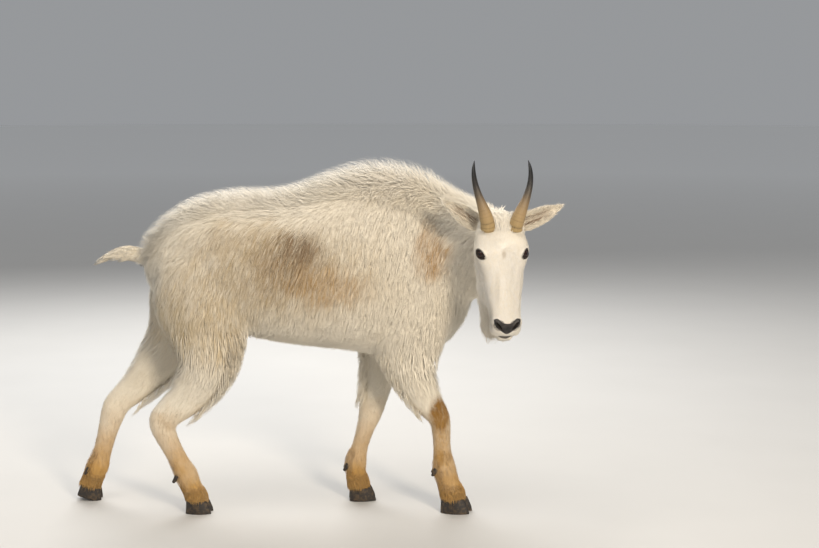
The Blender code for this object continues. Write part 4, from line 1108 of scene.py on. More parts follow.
# which part of the body each face of the hide belongs to
def bodyRegions():
    centre = bodyHide["skin"][bodyHide["faces"]].mean(1)
    out = unit(bodyHide["out"][bodyHide["faces"]].mean(1))
    x, y, z = centre.T
    regions = {}
    throat, onward = (np.array(v) for v in neck["throatCut"])
    free = (centre - throat) @ onward < 0.004
    for name, rows, _ in legLines():
        at = nearestOn(centre, rows[:, :3])
        near = np.linalg.norm(centre - rows[at, :3], axis=1) / rows[at, 3]
        top = 0.50 if name.startswith("hind") else 0.445
        side = y > 0 if name.endswith("left") else y < 0
        low, up = (np.array(v) for v in coronet(name))
        mine = free & side & (z < top) & (near < 1.8)
        free &= ~mine
        regions[name] = mine & ((centre - low) @ up > -0.004)
    regions["tail"] = free & (x < -0.412) & (np.abs(y) < 0.08) & (z > 0.62)
    free &= ~regions["tail"]
    breast, ahead = (np.array(v) for v in neck["breastCut"])
    regions["neck"] = free & ((centre - breast) @ ahead > 0)
    free &= ~regions["neck"]
    regions["torsoRight"], regions["torsoLeft"] = free & (y < 0), free & (y >= 0)
    onTop = (spineAside(centre) < crest["halfWidth"]) & (out[:, 2] > 0.30)
    onTop &= z > crest["lowest"]                # knees and feet under the spine face up too
    regions["crest"] = onTop & (regions["neck"] | (x > -0.39)) & ((centre - throat) @ onward < 0.004)
    for name in legs:
        hind = name.startswith("hind")
        low, up = (np.array(v) for v in coronet(name))
        height = (centre - low) @ up
        edge = out[:, 0] > 0.40 if hind else out[:, 0] < -0.40
        fringed = (z > 0.275) & (z < (0.52 if hind else 0.475)) & edge
        regions[name + "Fringe"] = regions[name] & fringed
        regions[name + "Foot"] = regions[name] & (height > 0.004) & (height < 0.040)
        regions[name + "Cannon"] = regions[name] & (height > 0.030) & (z < (0.36 if hind else 0.33))
        regions[name + "Pastern"] = regions[name] & (height > 0.030) & (z < 0.145) & (out[:, 0] < -0.25)
    regions["dockEnd"] = regions["tail"] & (x < -0.425)
    return regions


def inOutline(points, outline):
    inside = np.zeros(len(points), bool)
    for (x1, y1), (x2, y2) in zip(outline, outline[1:] + outline[:1]):
        crosses = (y1 > points[:, 1]) != (y2 > points[:, 1])
        inside ^= crosses & (points[:, 0] < (x2 - x1) * (points[:, 1] - y1) / (y2 - y1 + 1e-12) + x1)
    return inside


def headRegions():
    centre = headHide["tips"][headHide["faces"]].mean(1)
    out = unit(headHide["out"][headHide["faces"]].mean(1))
    local = inHead(centre)
    along, left, up = local.T
    throat, onward = (np.array(v) for v in neck["throatCut"])
    free = (centre - throat) @ onward > -0.004
    for side in (1, -1):
        place = eyeFrame(side)
        spot = (centre - np.array(place.translation)) @ np.array(place.to_3x3())
        wide, tall = eye["opening"]
        opened = (spot[:, 0] / (wide + 0.0020)) ** 2 + (spot[:, 1] / (tall + 0.0026)) ** 2 < 1
        free &= ~(opened & (spot[:, 2] > 0))
        place = nostrilFrame(side)
        spot = (centre - np.array(place.translation)) @ np.array(place.to_3x3())
        free &= ~((spot[:, 0] / 0.0145) ** 2 + (spot[:, 1] / 0.0068) ** 2 + (spot[:, 2] / 0.012) ** 2 < 1)
        path = np.array([tuple(p) for p in hornPath(side)[:60]])
        at = nearestOn(local, path)
        free &= np.linalg.norm(local - path[at], axis=1) > horn["radii"][0][1] - 0.001
    noseOut = Vector(nose["out"]).normalized()
    down = np.array([noseOut.z, 0, -noseOut.x])
    flat = local - np.array(nose["centre"])
    shape = [tuple(p) for p in nose["outline"]] + [(-p[0], p[1]) for p in nose["outline"][-2:0:-1]]
    onPad = inOutline(np.stack([flat[:, 1], flat @ down], axis=1) / 1.04, shape)
    free &= ~(onPad & (flat @ np.array(noseOut) > -0.010) & (along > 0.22))
    (frontAt, frontLevel), (cornerAt, cornerLevel) = mouth["front"], mouth["corner"]
    t = (along - cornerAt) / (frontAt - cornerAt)
    level = cornerLevel + (frontLevel - cornerLevel) * t - 0.004 * np.sin(np.pi * np.clip(t, 0, 1))
    free &= ~((t > 0.1) & (up - level < 0.0052) & (up - level > -0.0022))      # the lips stay clear
    regions = {"headRight": free & (left < 0), "headLeft": free & (left >= 0)}
    regions["beard"] = free & (along > 0.02) & (along < 0.35) & (up < -0.088) & (centre[:, 1] > -0.30)
    regions["poll"] = free & (along < 0.012) & (up > -0.045) & (np.abs(left) < 0.062)
    return regions


# the hair gets shorter below the knee and the hock
def legShare(roots):
    return 0.42 + 0.58 * smoothstep(0.27, 0.40, roots[:, 2])


def evenly(hide, corners):
    return 1.0


# reach and rise are shares of the coat's depth, and length and height stand in their place in metres;
# width is a share of the tuft's length, or of slim where that is given
coats = {
    "torso": {
        "count": 14500, "reach": 2.35, "rise": 0.75, "width": 0.052, "stray": 0.10, "clump": 0.38,
        "perClump": 15, "rings": 2, "wave": 0.06,
    },
    "torsoFine": {
        "count": 38000, "reach": 1.75, "rise": 0.95, "width": 0.042, "stray": 0.13, "clump": 0.42,
        "perClump": 22, "rings": 1, "lift": 0.35,
    },
    "neck": {
        "count": 7500, "reach": 2.3, "rise": 0.78, "width": 0.052, "stray": 0.11, "clump": 0.42,
        "perClump": 13, "rings": 2, "wave": 0.06,
    },
    "neckFine": {
        "count": 20000, "reach": 1.75, "rise": 0.98, "width": 0.042, "stray": 0.14, "clump": 0.45,
        "perClump": 20, "rings": 1, "lift": 0.35,
    },
    "leg": {
        "count": 3600, "taper": legShare, "reach": 2.5, "rise": 0.80, "width": 0.080, "stray": 0.10,
        "clump": 0.45, "perClump": 11, "rings": 2, "wave": 0.05,
    },
    "legFine": {
        "count": 7000, "taper": legShare, "reach": 2.0, "rise": 1.0, "width": 0.065, "stray": 0.13,
        "clump": 0.50, "perClump": 16, "rings": 1, "lift": 0.35,
    },
    "crest": {
        "count": 5000, "length": 0.036, "height": 0.041, "width": 0.032, "slim": 0.052, "stray": 0.22,
        "clump": 0.30, "perClump": 9, "rings": 3, "wave": 0.08, "bow": 0.80, "taper": crestShare,
        "grain": evenly,
    },
    "crestFine": {
        "count": 15000, "length": 0.027, "height": 0.043, "width": 0.030, "slim": 0.040, "stray": 0.34,
        "clump": 0.30, "perClump": 12, "rings": 1, "lift": 0.20, "taper": crestShare, "grain": evenly,
    },
    "hindFringe": {
        "count": 750, "length": 0.060, "height": 0.022, "width": 0.036, "stray": 0.14, "clump": 0.70,
        "perClump": 20, "rings": 3, "wave": 0.06, "pull": (0.10, 0, -0.45), "bow": 0.8, "free": True,
        "grain": evenly,
    },
    "foreFringe": {
        "count": 480, "length": 0.046, "height": 0.016, "width": 0.040, "stray": 0.14, "clump": 0.65,
        "perClump": 18, "rings": 3, "wave": 0.06, "pull": (-0.10, 0, -0.45), "bow": 0.8, "free": True,
        "grain": evenly,
    },
    "foot": {
        "count": 1100, "length": 0.018, "height": 0.0035, "width": 0.058, "stray": 0.16, "clump": 0.25,
        "perClump": 8, "rings": 2, "wave": 0.08, "pull": (0, 0, -3.0), "bow": 0.7, "free": True,
        "grain": evenly,
    },
    "cannon": {
        "count": 1200, "length": 0.013, "height": 0.0024, "width": 0.060, "stray": 0.14, "clump": 0.3,
        "perClump": 9, "rings": 2, "wave": 0.07, "pull": (0, 0, -1.4), "bow": 0.6, "free": True,
        "grain": evenly,
    },
    "pastern": {
        "count": 420, "length": 0.018, "height": 0.0045, "width": 0.055, "stray": 0.16, "clump": 0.6,
        "perClump": 10, "rings": 2, "wave": 0.08, "pull": (0, 0, -1.6), "bow": 0.8, "free": True,
        "grain": evenly,
    },
    "tail": {
        "count": 1000, "length": 0.032, "height": 0.007, "width": 0.045, "stray": 0.18, "clump": 0.6,
        "perClump": 14, "rings": 3, "wave": 0.06, "free": True, "grain": evenly,
    },
    "tailEnd": {
        "count": 650, "length": 0.052, "height": 0.005, "width": 0.028, "stray": 0.16, "clump": 0.8,
        "perClump": 30, "rings": 3, "wave": 0.06, "pull": (-0.4, 0, -0.42), "free": True,
        "grain": evenly,
    },
    "head": {
        "count": 3300, "reach": 2.8, "rise": 0.80, "width": 0.080, "stray": 0.10, "clump": 0.40,
        "perClump": 11, "rings": 2, "wave": 0.04,
    },
    "headFine": {
        "count": 11000, "reach": 2.3, "rise": 1.0, "width": 0.085, "stray": 0.12, "clump": 0.40,
        "perClump": 14, "rings": 1, "lift": 0.25,
    },
    "poll": {
        "count": 800, "length": 0.026, "height": 0.010, "width": 0.050, "stray": 0.22, "clump": 0.6,
        "perClump": 14, "rings": 2, "wave": 0.05, "grain": evenly,
    },
    "beard": {
        "count": 1100, "length": 0.027, "height": 0.007, "width": 0.045, "stray": 0.12, "clump": 0.6,
        "perClump": 18, "rings": 3, "wave": 0.05, "pull": (0, 0, -0.7), "bow": 0.7, "free": True,
        "grain": evenly,
    },
    "ear": {
        "count": 1300, "length": 0.0120, "height": 0.0016, "width": 0.085, "stray": 0.12, "clump": 0.3,
        "perClump": 10, "rings": 2, "wave": 0.04, "free": True, "grain": evenly,
    },
    "earCup": {
        "count": 160, "length": 0.019, "height": 0.0035, "width": 0.040, "stray": 0.26, "clump": 0.35,
        "perClump": 7, "rings": 2, "wave": 0.08, "free": True, "grain": evenly,
    },
    "earRim": {
        "count": 520, "length": 0.013, "height": 0.0040, "width": 0.060, "stray": 0.2, "clump": 0.5,
        "perClump": 10, "rings": 2, "wave": 0.05, "free": True, "grain": evenly,
    },
}


def coatOf(title, hide, parts, unwrap):
    return coatPiece(title, [grow(hide, *part) for part in parts], unwrap)


def legTitle(name):
    return name.title().replace("_", "")


def growBody():
    made = {}
    regions = bodyRegions()
    spineLine = [(row[0], 0, (row[1] + row[2]) / 2) for row in trunk["rows"]]
    for k, side in enumerate(("Right", "Left")):
        for j, layer in enumerate(("torso", "torsoFine")):
            title = "coatT" + layer[1:] + side
            parts = [(regions["torso" + side], coats[layer], 11 + k + 70 * j)]
            made[title] = coatOf(title, bodyHide, parts, unwrapAlong(spineLine, half=1))
    neckLine = np.array(smoothRows(neck["rows"], 4))[:, :3]
    parts = [(regions["neck"], coats["neck"], 13), (regions["neck"], coats["neckFine"], 83)]
    made["coatNeck"] = coatOf("coatNeck", bodyHide, parts, unwrapAlong(neckLine))
    crestLine = [(row[0], 0, row[1]) for row in trunk["rows"][1:10]]
    crestLine += [(row[0], row[1], row[2] + row[4]) for row in neck["rows"][1:]]
    parts = [(regions["crest"], coats["crest"], 14), (regions["crest"], coats["crestFine"], 84)]
    made["coatCrest"] = coatOf("coatCrest", bodyHide, parts, unwrapAlong(crestLine))
    for k, (name, rows, _) in enumerate(legLines()):
        fringe = coats["hindFringe" if name.startswith("hind") else "foreFringe"]
        parts = [(regions[name], coats["leg"], 20 + k),
                 (regions[name], coats["legFine"], 90 + k),
                 (regions[name + "Foot"], coats["foot"], 94 + k),
                 (regions[name + "Cannon"], coats["cannon"], 102 + k),
                 (regions[name + "Pastern"], coats["pastern"], 98 + k),
                 (regions[name + "Fringe"], fringe, 30 + k)]
        title = "coat" + legTitle(name)
        made[title] = coatOf(title, bodyHide, parts, unwrapAlong(rows[:, :3]))
    tailLine = [row[:3] for row in tailDock["rows"]]
    parts = [(regions["tail"], coats["tail"], 40), (regions["dockEnd"], coats["tailEnd"], 41)]
    made["coatTail"] = coatOf("coatTail", bodyHide, parts, unwrapAlong(tailLine))
    return made


def growHead():
    made = {}
    regions = headRegions()
    headLine = [tuple(skull @ Vector((a, 0, -0.055))) for a in np.linspace(-0.09, 0.262, 24)]
    hint = tuple(skull.to_3x3() @ Vector((0, 1, 0)))
    for k, side in enumerate(("Right", "Left")):
        title = "coatHead" + side
        parts = [(regions["head" + side], coats["head"], 50 + k),
                 (regions["head" + side], coats["headFine"], 56 + k)]
        made[title] = coatOf(title, headHide, parts, unwrapAlong(headLine, hint, half=1))
    parts = [(regions["poll"], coats["poll"], 52), (regions["beard"], coats["beard"], 53)]
    made["coatPollAndBeard"] = coatOf("coatPollAndBeard", headHide, parts, unwrapAlong(headLine, hint))
    return made


def growEar(side, hide):
    base, tip, axis, facing = earAxes(side)
    toTip, front = np.array(skull.to_3x3() @ axis), np.array(skull.to_3x3() @ facing)
    start, span = np.array(skull @ base), (tip - base).length
    centre = hide["skin"][hide["faces"]].mean(1)
    outer = unit(hide["out"][hide["faces"]].mean(1)) @ front < 0.25
    along = (centre - start) @ toTip / span
    aside = np.abs((centre - start) @ np.cross(front, toTip)) / ear["halfWidth"]
    rim = ((aside > 0.72) | (along > 0.86)) & (along > 0.12)
    margin = (aside > 0.56) | (along > 0.78)

    def tipShare(points):
        return 1 - 0.60 * smoothstep(0.70, 1.0, (points - start) @ toTip / span)
    parts = [(outer & (along > 0.03), dict(coats["ear"], taper=tipShare), 60 + side),
             (rim, dict(coats["earRim"], taper=tipShare), 62 + side),
             (~outer & margin, dict(coats["earCup"], count=460), 64 + side),
             (~outer & (along > 0.04), dict(coats["earCup"], taper=tipShare), 66 + side)]
    earLine = [tuple(skull @ base.lerp(tip, t)) for t in np.linspace(0, 1, 12)]
    return coatOf("coatEar" + sideName(side), hide, parts, unwrapAlong(earLine, tuple(front)))


def growCoat():
    made = {**growBody(), **growHead()}
    for side, hide in earHides.items():
        made["coatEar" + sideName(side)] = growEar(side, hide)
    return made


noteBareSkin()
coatPieces = growCoat()
horns = {side: buildHorn(side) for side in (1, -1)}
eyes = {side: buildEye(side) for side in (1, -1)}
nosePad = buildNose()
discard(rawFace)
toes = {}
for name in legs:
    pair = [buildHoof(name, side) for side in (1, -1)]
    toes[name] = shaded(gather("hooves" + legTitle(name), pair))
    pair = [buildDewclaw(name, side) for side in (1, -1)]
    toes[name + "_claws"] = shaded(gather("dewclaws" + legTitle(name), pair))
print("horns, eyes, nose and feet")


def linear(hexColour):
    found = []
    for k in (1, 3, 5):
        c = int(hexColour[k:k + 2], 16) / 255
        found.append(c / 12.92 if c <= 0.04045 else ((c + 0.055) / 1.055) ** 2.4)
    return (*found, 1.0)


def addNode(tree, kind, values=None, links=None, **settings):
    node = tree.nodes.new(kind)
    for key, value in settings.items():
        setattr(node, key, value)
    for key, value in (values or {}).items():
        node.inputs[key].default_value = value
    for key, source in (links or {}).items():
        tree.links.new(source, node.inputs[key])
    return node


def attributeOf(tree, name, output="Fac"):
    return addNode(tree, "ShaderNodeAttribute", attribute_name=name).outputs[output]


def noiseOver(tree, vector, scale, detail, roughness=0.5):
    values = {"Scale": scale, "Detail": detail, "Roughness": roughness}
    return addNode(tree, "ShaderNodeTexNoise", values, {"Vector": vector}).outputs


def ranged(tree, source, low, high, least, most, **settings):
    values = {1: low, 2: high, 3: least, 4: most}
    return addNode(tree, "ShaderNodeMapRange", values, {0: source}, **settings).outputs[0]


def times(tree, one, other, **settings):
    links = {0: one, 1: other}
    return addNode(tree, "ShaderNodeMath", {}, links, operation="MULTIPLY", **settings).outputs[0]


def vectors(tree, operation, values, links):
    return addNode(tree, "ShaderNodeVectorMath", values, links, operation=operation).outputs


def tinted(tree, colour, share, tint):
    links = {0: share, 6: colour}
    return addNode(tree, "ShaderNodeMix", {7: linear(tint)}, links, data_type="RGBA").outputs[2]


def blended(tree, share, one, other):
    values = {6: linear(one), 7: linear(other)}
    return addNode(tree, "ShaderNodeMix", values, {0: share}, data_type="RGBA").outputs[2]


def brightened(tree, colour, value):
    return addNode(tree, "ShaderNodeHueSaturation", {}, {"Color": colour, "Value": value}).outputs[0]


def stretchedBy(tree, vector, scale):
    return addNode(tree, "ShaderNodeMapping", {"Scale": scale}, {"Vector": vector}).outputs[0]


def newMaterial(name):
    material = bpy.data.materials.new(name)
    material.use_nodes = True
    return material, material.node_tree, material.node_tree.nodes["Principled BSDF"]


# markings as soft patches: middle and half sizes in the sections' own place, colour, strength
markings = [
    # whiter head, and white along the back, the hump and the crest of the neck
    ((0.520, -0.340, 0.640), (0.160, 0.160, 0.240), "#f3eee5", 0.95),
    ((-0.200, 0.000, 0.880), (0.330, 0.160, 0.090), "#f8f1e4", 0.90),
    ((0.240, 0.000, 0.930), (0.300, 0.160, 0.110), "#f8f1e4", 0.90),
    # weathered flank under the whiter back
    ((-0.080, -0.180, 0.660), (0.400, 0.130, 0.165), "#c4ae88", 0.78),
    ((-0.060, 0.160, 0.640), (0.400, 0.120, 0.170), "#cdbb99", 0.60),
    ((-0.150, -0.180, 0.745), (0.260, 0.110, 0.072), "#bfa985", 0.75),
    # dirt ground into the near flank: grey brown above, tan and streaked below and ahead of it
    ((0.000, -0.165, 0.702), (0.110, 0.090, 0.090), "#917a5c", 0.78),
    ((-0.035, -0.165, 0.662), (0.125, 0.090, 0.090), "#a68b68", 0.62),
    ((0.010, -0.165, 0.722), (0.070, 0.090, 0.055), "#7b634a", 0.68),
    ((0.085, -0.165, 0.622), (0.125, 0.090, 0.065), "#ba9563", 0.72),
    # rubbed tan patch before the shoulder
    ((0.352, -0.120, 0.706), (0.060, 0.100, 0.090), "#b0854a", 0.82),
    # yellowed back of the thighs, on the near thigh partly painted shade, darker at the back where it turns
    # from the light
    # yellow stain together with painted shade at the back of the near thigh
    ((-0.320, -0.120, 0.500), (0.075, 0.090, 0.150), "#b29a6a", 0.66),
    ((-0.194, -0.170, 0.500), (0.110, 0.090, 0.140), "#c3a875", 0.60),
    ((-0.360, 0.090, 0.480), (0.090, 0.080, 0.140), "#c3a266", 0.45),
    # stained shin of the near foreleg
    ((0.372, -0.090, 0.160), (0.060, 0.060, 0.130), "#b08950", 0.75),
    # hocks
    ((-0.356, -0.090, 0.252), (0.036, 0.050, 0.030), "#bfa176", 0.45),
]
# marks that keep their place exactly
closeMarks = [
    # stains on the knee and the shin of the near foreleg
    ((0.370, -0.110, 0.268), (0.036, 0.060, 0.056), "#90682f", 1.60),
    ((0.378, -0.100, 0.150), (0.036, 0.050, 0.022), "#8f6a38", 0.90),
    # thin grey mark between the eyes, grey down the near side of the bridge, and painted shade in the crease
    # beside the muzzle
    ((0.522, -0.300, 0.712), (0.0070, 0.030, 0.014), "#98866c", 0.55),
    ((0.505, -0.330, 0.632), (0.0085, 0.060, 0.048), "#b5ad9f", 0.40),
    # painted shade: darker grey in the crease between the muzzle and the cheek
    ((0.489, -0.350, 0.560), (0.0070, 0.070, 0.042), "#8d8679", 0.50),
    # tan over the nose, yellowish chin
    ((0.531, -0.365, 0.541), (0.016, 0.025, 0.011), "#b39a78", 0.60),
    ((0.532, -0.350, 0.474), (0.034, 0.050, 0.014), "#c4b27e", 0.70),
]

hair = {
    # root is a darker tint, painted shade at the base of each tuft
    "coat": "#eee3cd", "white": "#f7efdf", "ochre": "#c49a5a", "root": "#b9a27a",
}


def paintCoat(tree, place, tuft=None):
    centred = vectors(tree, "SUBTRACT", {1: tuple(home)}, {0: place})[0]
    drift = noiseOver(tree, centred, 26.0, 3.0, 0.6)["Color"]
    shift = vectors(tree, "SUBTRACT", {1: (0.5, 0.5, 0.5)}, {0: drift})[0]
    shift = vectors(tree, "SCALE", {"Scale": 0.085}, {0: shift})[0]
    spot = vectors(tree, "ADD", {}, {0: centred, 1: shift})[0]
    # upright streaks of the flank, about 13 mm apart and four to five times as long
    streaks = noiseOver(tree, stretchedBy(tree, spot, (1.0, 1.0, 0.22)), 75.0, 4.0, 0.7)[0]
    broad = noiseOver(tree, centred, 6.0, 3.0)[0]
    colour = blended(tree, broad, hair["coat"], hair["white"])
    patchy = ranged(tree, streaks, 0.36, 0.58, 0.45, 1.0)
    if tuft:
        patchy = times(tree, patchy, ranged(tree, tuft, 0.2, 0.8, 0.45, 1.35))
    for around, marks in ((spot, markings), (centred, closeMarks)):
        for middle, sizes, tint, strength in marks:
            away = vectors(tree, "SUBTRACT", {1: middle}, {0: around})[0]
            away = vectors(tree, "DIVIDE", {1: sizes}, {0: away})[0]
            away = vectors(tree, "LENGTH", {}, {0: away})[1]
            share = ranged(tree, away, 1.15, 0.35, 0.0, strength, interpolation_type="SMOOTHSTEP")
            colour = tinted(tree, colour, times(tree, share, patchy, use_clamp=True), tint)
    # ochre climbs the legs from the ground
    height = addNode(tree, "ShaderNodeSeparateXYZ", {}, {0: spot}).outputs[2]
    low = ranged(tree, height, 0.30, 0.06, 0.0, 1.15)
    uneven = ranged(tree, noiseOver(tree, centred, 14.0, 3.0)[0], 0.3, 0.6, 0.68, 1.0)
    return tinted(tree, colour, times(tree, low, uneven), hair["ochre"])


def wool():
    # pale matt guard hair: broad soft scatter with a faint sheen at the edges
    material, tree, shader = newMaterial("guardHair")
    along, shade = attributeOf(tree, "along"), attributeOf(tree, "shade")
    colour = paintCoat(tree, attributeOf(tree, "place", "Vector"), shade)
    # painted shade: a darker tint towards each tuft's root, where the coat is deep
    colour = tinted(tree, colour, ranged(tree, along, 0.0, 0.5, 0.08, 0.0), hair["root"])
    colour = brightened(tree, colour, ranged(tree, shade, 0.0, 1.0, 0.94, 1.05))
    tree.links.new(colour, shader.inputs["Base Color"])
    shader.inputs["Roughness"].default_value = 0.72
    shader.inputs["Specular IOR Level"].default_value = 0.25
    shader.inputs["Sheen Weight"].default_value = 0.12
    return material


def hideSkin():
    # short flat hair over pale skin: fine streaks along the face, bare dark skin at the lids, and painted
    # shadow along the lip line
    material, tree, shader = newMaterial("shortHairOnSkin")
    place = addNode(tree, "ShaderNodeTexCoord").outputs["Object"]
    colour = paintCoat(tree, place)
    turn = skull.to_3x3().transposed()
    toHead = {"Rotation": turn.to_euler(), "Location": -(turn @ (skull.translation + home))}
    local = addNode(tree, "ShaderNodeMapping", toHead, {"Vector": place}).outputs[0]
    # streaks 1.2 mm apart, coarser than real hair so that they show
    fine = noiseOver(tree, stretchedBy(tree, local, (0.12, 1.0, 1.0)), 820.0, 2.0)[0]
    colour = brightened(tree, colour, ranged(tree, fine, 0.3, 0.7, 0.90, 1.04))
    bareDark = "#231a16"
    colour = tinted(tree, colour, attributeOf(tree, "lids"), bareDark)
    for side in (1, -1):
        middle = tuple(skull @ sided(nose["nostril"], side) + home)
        away = vectors(tree, "DISTANCE", {1: middle}, {0: place})[1]
        colour = tinted(tree, colour, ranged(tree, away, 0.0165, 0.0140, 0.0, 0.95), bareDark)
    # painted shadow: the lip line is darkened where the mouth closes, standing in for the shade in its
    # crease
    inHeadSpace = addNode(tree, "ShaderNodeSeparateXYZ", {}, {0: local}).outputs
    off = addNode(tree, "ShaderNodeMath", {1: 0.0652}, {0: inHeadSpace[2]}, operation="ADD").outputs[0]
    off = addNode(tree, "ShaderNodeMath", {}, {0: off}, operation="ABSOLUTE").outputs[0]
    lipShadow = ranged(tree, off, 0.0042, 0.0026, 0.0, 0.9)
    front = ranged(tree, inHeadSpace[0], 0.184, 0.204, 0.0, 1.0)
    colour = tinted(tree, colour, times(tree, lipShadow, front), "#2e241e")
    # brown skin in the cups of the ears, in streaks that run to the tip
    inCup = stretchedBy(tree, attributeOf(tree, "inCup", "Vector"), (1.2, 7.0, 3.0))
    streak = ranged(tree, noiseOver(tree, inCup, 1.0, 3.0, 0.6)[0], 0.34, 0.62, 0.35, 0.95)
    colour = tinted(tree, colour, times(tree, attributeOf(tree, "cup"), streak), "#60452a")
    tree.links.new(colour, shader.inputs["Base Color"])
    bump = addNode(tree, "ShaderNodeBump", {"Strength": 0.35, "Distance": 0.0006}, {"Height": fine})
    tree.links.new(bump.outputs[0], shader.inputs["Normal"])
    shader.inputs["Roughness"].default_value = 0.70
    shader.inputs["Specular IOR Level"].default_value = 0.25
    shader.inputs["Sheen Weight"].default_value = 0.12
    return material


def hornKeratin():
    # keratin sheath, worn and dusty tan low down and polished black above
    material, tree, shader = newMaterial("hornKeratin")
    along, turn = attributeOf(tree, "along"), attributeOf(tree, "turn", "Vector")
    lengthwise = addNode(tree, "ShaderNodeCombineXYZ", {}, {2: along}).outputs[0]
    around = vectors(tree, "ADD", {}, {0: turn, 1: lengthwise})[0]
    striped = noiseOver(tree, around, 9.0, 5.0, 0.7)[0]
    rippled = addNode(tree, "ShaderNodeMath", {1: 0.16}, {0: striped}, operation="MULTIPLY").outputs[0]
    level = addNode(tree, "ShaderNodeMath", {}, {0: along, 1: rippled}, operation="ADD").outputs[0]
    ramp = addNode(tree, "ShaderNodeValToRGB", {}, {0: level})
    stops = ramp.color_ramp.elements
    stops[0].position, stops[0].color = 0.10, linear("#ab9264")
    stops[1].position, stops[1].color = 0.88, linear("#121110")
    for position, tint in ((0.30, "#a48a62"), (0.44, "#897354"), (0.58, "#51473a"), (0.70, "#2b2723")):
        stops.new(position).color = linear(tint)
    # the grooves between the growth rings are darker, in broken lines
    broken = ranged(tree, striped, 0.38, 0.62, 0.15, 0.80)
    colour = tinted(tree, ramp.outputs[0], times(tree, attributeOf(tree, "groove"), broken), "#2e261d")
    fibre = noiseOver(tree, stretchedBy(tree, around, (14.0, 14.0, 2.0)), 2.2, 4.0)[0]
    colour = brightened(tree, colour, ranged(tree, fibre, 0.3, 0.7, 0.86, 1.10))
    tree.links.new(colour, shader.inputs["Base Color"])
    bump = addNode(tree, "ShaderNodeBump", {"Strength": 0.5, "Distance": 0.0008}, {"Height": fibre})
    tree.links.new(bump.outputs[0], shader.inputs["Normal"])
    tree.links.new(ranged(tree, along, 0.2, 0.8, 0.55, 0.32), shader.inputs["Roughness"])
    return material


def hoofKeratin():
    # thick matt keratin with growth lines 3 mm apart and dry earth on it
    material, tree, shader = newMaterial("hoofKeratin")
    place = addNode(tree, "ShaderNodeTexCoord").outputs["Object"]
    lines = noiseOver(tree, stretchedBy(tree, place, (0.12, 0.12, 1.0)), 330.0, 2.0)[0]
    dust = ranged(tree, noiseOver(tree, place, 120.0, 4.0)[0], 0.46, 0.70, 0.0, 0.55)
    colour = blended(tree, dust, "#2b2622", "#6f5a40")
    colour = brightened(tree, colour, ranged(tree, lines, 0.3, 0.7, 0.8, 1.15))
    tree.links.new(colour, shader.inputs["Base Color"])
    bump = addNode(tree, "ShaderNodeBump", {"Strength": 0.6, "Distance": 0.0010}, {"Height": lines})
    tree.links.new(bump.outputs[0], shader.inputs["Normal"])
    shader.inputs["Roughness"].default_value = 0.58
    return material


def wetEye():
    # brown iris with a level pupil under a clear wet cornea
    material, tree, shader = newMaterial("wetEye")
    gaze = attributeOf(tree, "gaze", "Vector")
    flat = vectors(tree, "MULTIPLY", {1: (1.0, 1.0, 0.0)}, {0: gaze})[0]
    out = vectors(tree, "LENGTH", {}, {0: flat})[1]
    spokes = noiseOver(tree, gaze, 16.0, 3.0)[0]
    level = addNode(tree, "ShaderNodeMath", {1: 0.16}, {0: spokes}, operation="MULTIPLY").outputs[0]
    level = addNode(tree, "ShaderNodeMath", {}, {0: out, 1: level}, operation="ADD").outputs[0]
    ramp = addNode(tree, "ShaderNodeValToRGB", {}, {0: level})
    stops = ramp.color_ramp.elements
    stops[0].position, stops[0].color = 0.30, linear("#361a0f")
    stops[1].position, stops[1].color = 0.92, linear("#0d0806")
    stops.new(0.66).color = linear("#241009")
    slit = vectors(tree, "MULTIPLY", {1: (2.3, 5.0, 0.0)}, {0: gaze})[0]
    slit = vectors(tree, "LENGTH", {}, {0: slit})[1]
    colour = tinted(tree, ramp.outputs[0], ranged(tree, slit, 1.08, 0.94, 0.0, 1.0), "#040303")
    tree.links.new(colour, shader.inputs["Base Color"])
    shader.inputs["Roughness"].default_value = 0.10
    shader.inputs["IOR"].default_value = 1.34
    shader.inputs["Coat Weight"].default_value = 0.4
    shader.inputs["Coat Roughness"].default_value = 0.04
    return material


def noseLeather():
    # bare black skin, cobbled in grains of about 1.3 mm and slightly moist
    material, tree, shader = newMaterial("noseLeather")
    place = addNode(tree, "ShaderNodeTexCoord").outputs["Object"]
    values = {"Scale": 760.0, "Randomness": 0.9}
    cells = addNode(tree, "ShaderNodeTexVoronoi", values, {"Vector": place}).outputs[0]
    worn = ranged(tree, noiseOver(tree, place, 95.0, 3.0)[0], 0.42, 0.66, 0.0, 1.0)
    tree.links.new(blended(tree, worn, "#131010", "#3d3835"), shader.inputs["Base Color"])
    bump = addNode(tree, "ShaderNodeBump", {"Strength": 0.45, "Distance": 0.0007}, {"Height": cells})
    bump.invert = True
    tree.links.new(bump.outputs[0], shader.inputs["Normal"])
    shader.inputs["Roughness"].default_value = 0.42
    return material


def paint(piece, material):
    piece.data.materials.clear()
    piece.data.materials.append(material)


woolHair, shortHair, keratin, hoofHorn = wool(), hideSkin(), hornKeratin(), hoofKeratin()
eyeGloss, leather = wetEye(), noseLeather()
print("materials")


# the solids that the skin stands for
fleshNodes = ["torso", "neck", "head", "tail", "ear_left", "ear_right"]
for name in legs:
    halves = ("_thigh", "_cannon") if name.startswith("hind") else ("_forearm", "_shin")
    fleshNodes += [name + half for half in halves]
shaded(skin, 60)


def settleIn(piece, material, nodes=()):
    piece.data.transform(Matrix.Translation(home))
    paint(piece, material)
    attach(piece, "root")
    if nodes:
        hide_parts(*nodes)


settleIn(skin, shortHair, fleshNodes)
for title, piece in coatPieces.items():
    settleIn(piece, woolHair)
for side in (1, -1):
    word = sideName(side).lower()
    settleIn(horns[side], keratin, ["horn_" + word])
    settleIn(eyes[side], eyeGloss, ["eye_" + word])
settleIn(nosePad, leather, ["nose"])
for name in legs:
    settleIn(toes[name], hoofHorn, [f"hoof_{name}_inner", f"hoof_{name}_outer"])
    settleIn(toes[name + "_claws"], hoofHorn, [f"dewclaw_{name}_inner", f"dewclaw_{name}_outer"])


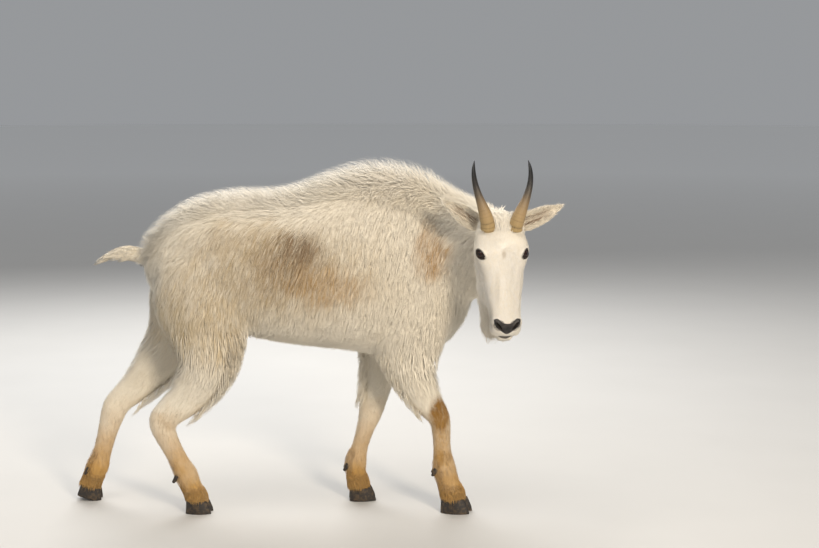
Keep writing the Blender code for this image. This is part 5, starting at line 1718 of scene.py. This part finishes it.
camera = {"place": (0.288, -4.5, 1.188), "down": 7.133, "lens": 75.165}
view = bpy.data.cameras.new("camera")
view.lens, view.sensor_width, view.clip_end = camera["lens"], 36.0, 60.0
viewer = bpy.data.objects.new("camera", view)
viewer.location = Vector(camera["place"]) + home
viewer.rotation_euler = (math.radians(90 - camera["down"]), 0, 0)
bpy.context.scene.collection.objects.link(viewer)
bpy.context.scene.camera = viewer


def buildFloor():
    form = bmesh.new()
    bmesh.ops.create_circle(form, cap_ends=True, radius=28.0, segments=96)
    bmesh.ops.recalc_face_normals(form, faces=form.faces)
    floor = pieceFrom(form, "floor")
    if floor.data.polygons[0].normal.z < 0:
        floor.data.flip_normals()
    return floor


def paleFloor():
    # pale matt paint, palest far off, where the floor meets the studio's own grey
    material, tree, shader = newMaterial("paleFloor")
    place = addNode(tree, "ShaderNodeTexCoord").outputs["Object"]
    farOff = vectors(tree, "LENGTH", {}, {0: place})[1]
    farOff = ranged(tree, farOff, 3.0, 14.0, 0.0, 1.0)
    mottle = noiseOver(tree, place, 3.0, 2.0)[0]
    colour = tinted(tree, blended(tree, mottle, "#cbc9c5", "#d0ceca"), farOff, "#fafaf9")
    tree.links.new(colour, shader.inputs["Base Color"])
    shader.inputs["Roughness"].default_value = 0.9
    return material


floor = buildFloor()
paint(floor, paleFloor())

lights = {
    # where it stands, what it faces, size, power, colour
    "key": ((2.2, -4.6, 2.4), (0.1, 0, 0.6), 0.9, 188.0, "#fff1dd"),
    "top": ((-0.3, -0.9, 3.7), (0, 0, 0.7), 2.4, 48.0, "#fff8ee"),
    "fill": ((-3.6, -2.6, 2.2), (0, 0, 0.5), 3.2, 12.0, "#eef3ff"),
    "back": ((-0.6, 2.8, 3.2), (0, 0, 0.6), 2.6, 150.0, "#ffffff"),
}
for name, (place, aim, size, power, tint) in lights.items():
    lamp = bpy.data.lights.new(name, "AREA")
    lamp.shape, lamp.size, lamp.energy, lamp.color = "SQUARE", size, power, linear(tint)[:3]
    stand = bpy.data.objects.new(name, lamp)
    stand.location = place
    stand.rotation_euler = (Vector(aim) - Vector(place)).to_track_quat("-Z", "Y").to_euler()
    bpy.context.scene.collection.objects.link(stand)

world = bpy.data.worlds.new("studio")
world.use_nodes = True
world.node_tree.nodes["Background"].inputs[0].default_value = linear("#eef1f5")
world.node_tree.nodes["Background"].inputs[1].default_value = 0.36
bpy.context.scene.world = world
bpy.context.scene.view_settings.view_transform = "Standard"
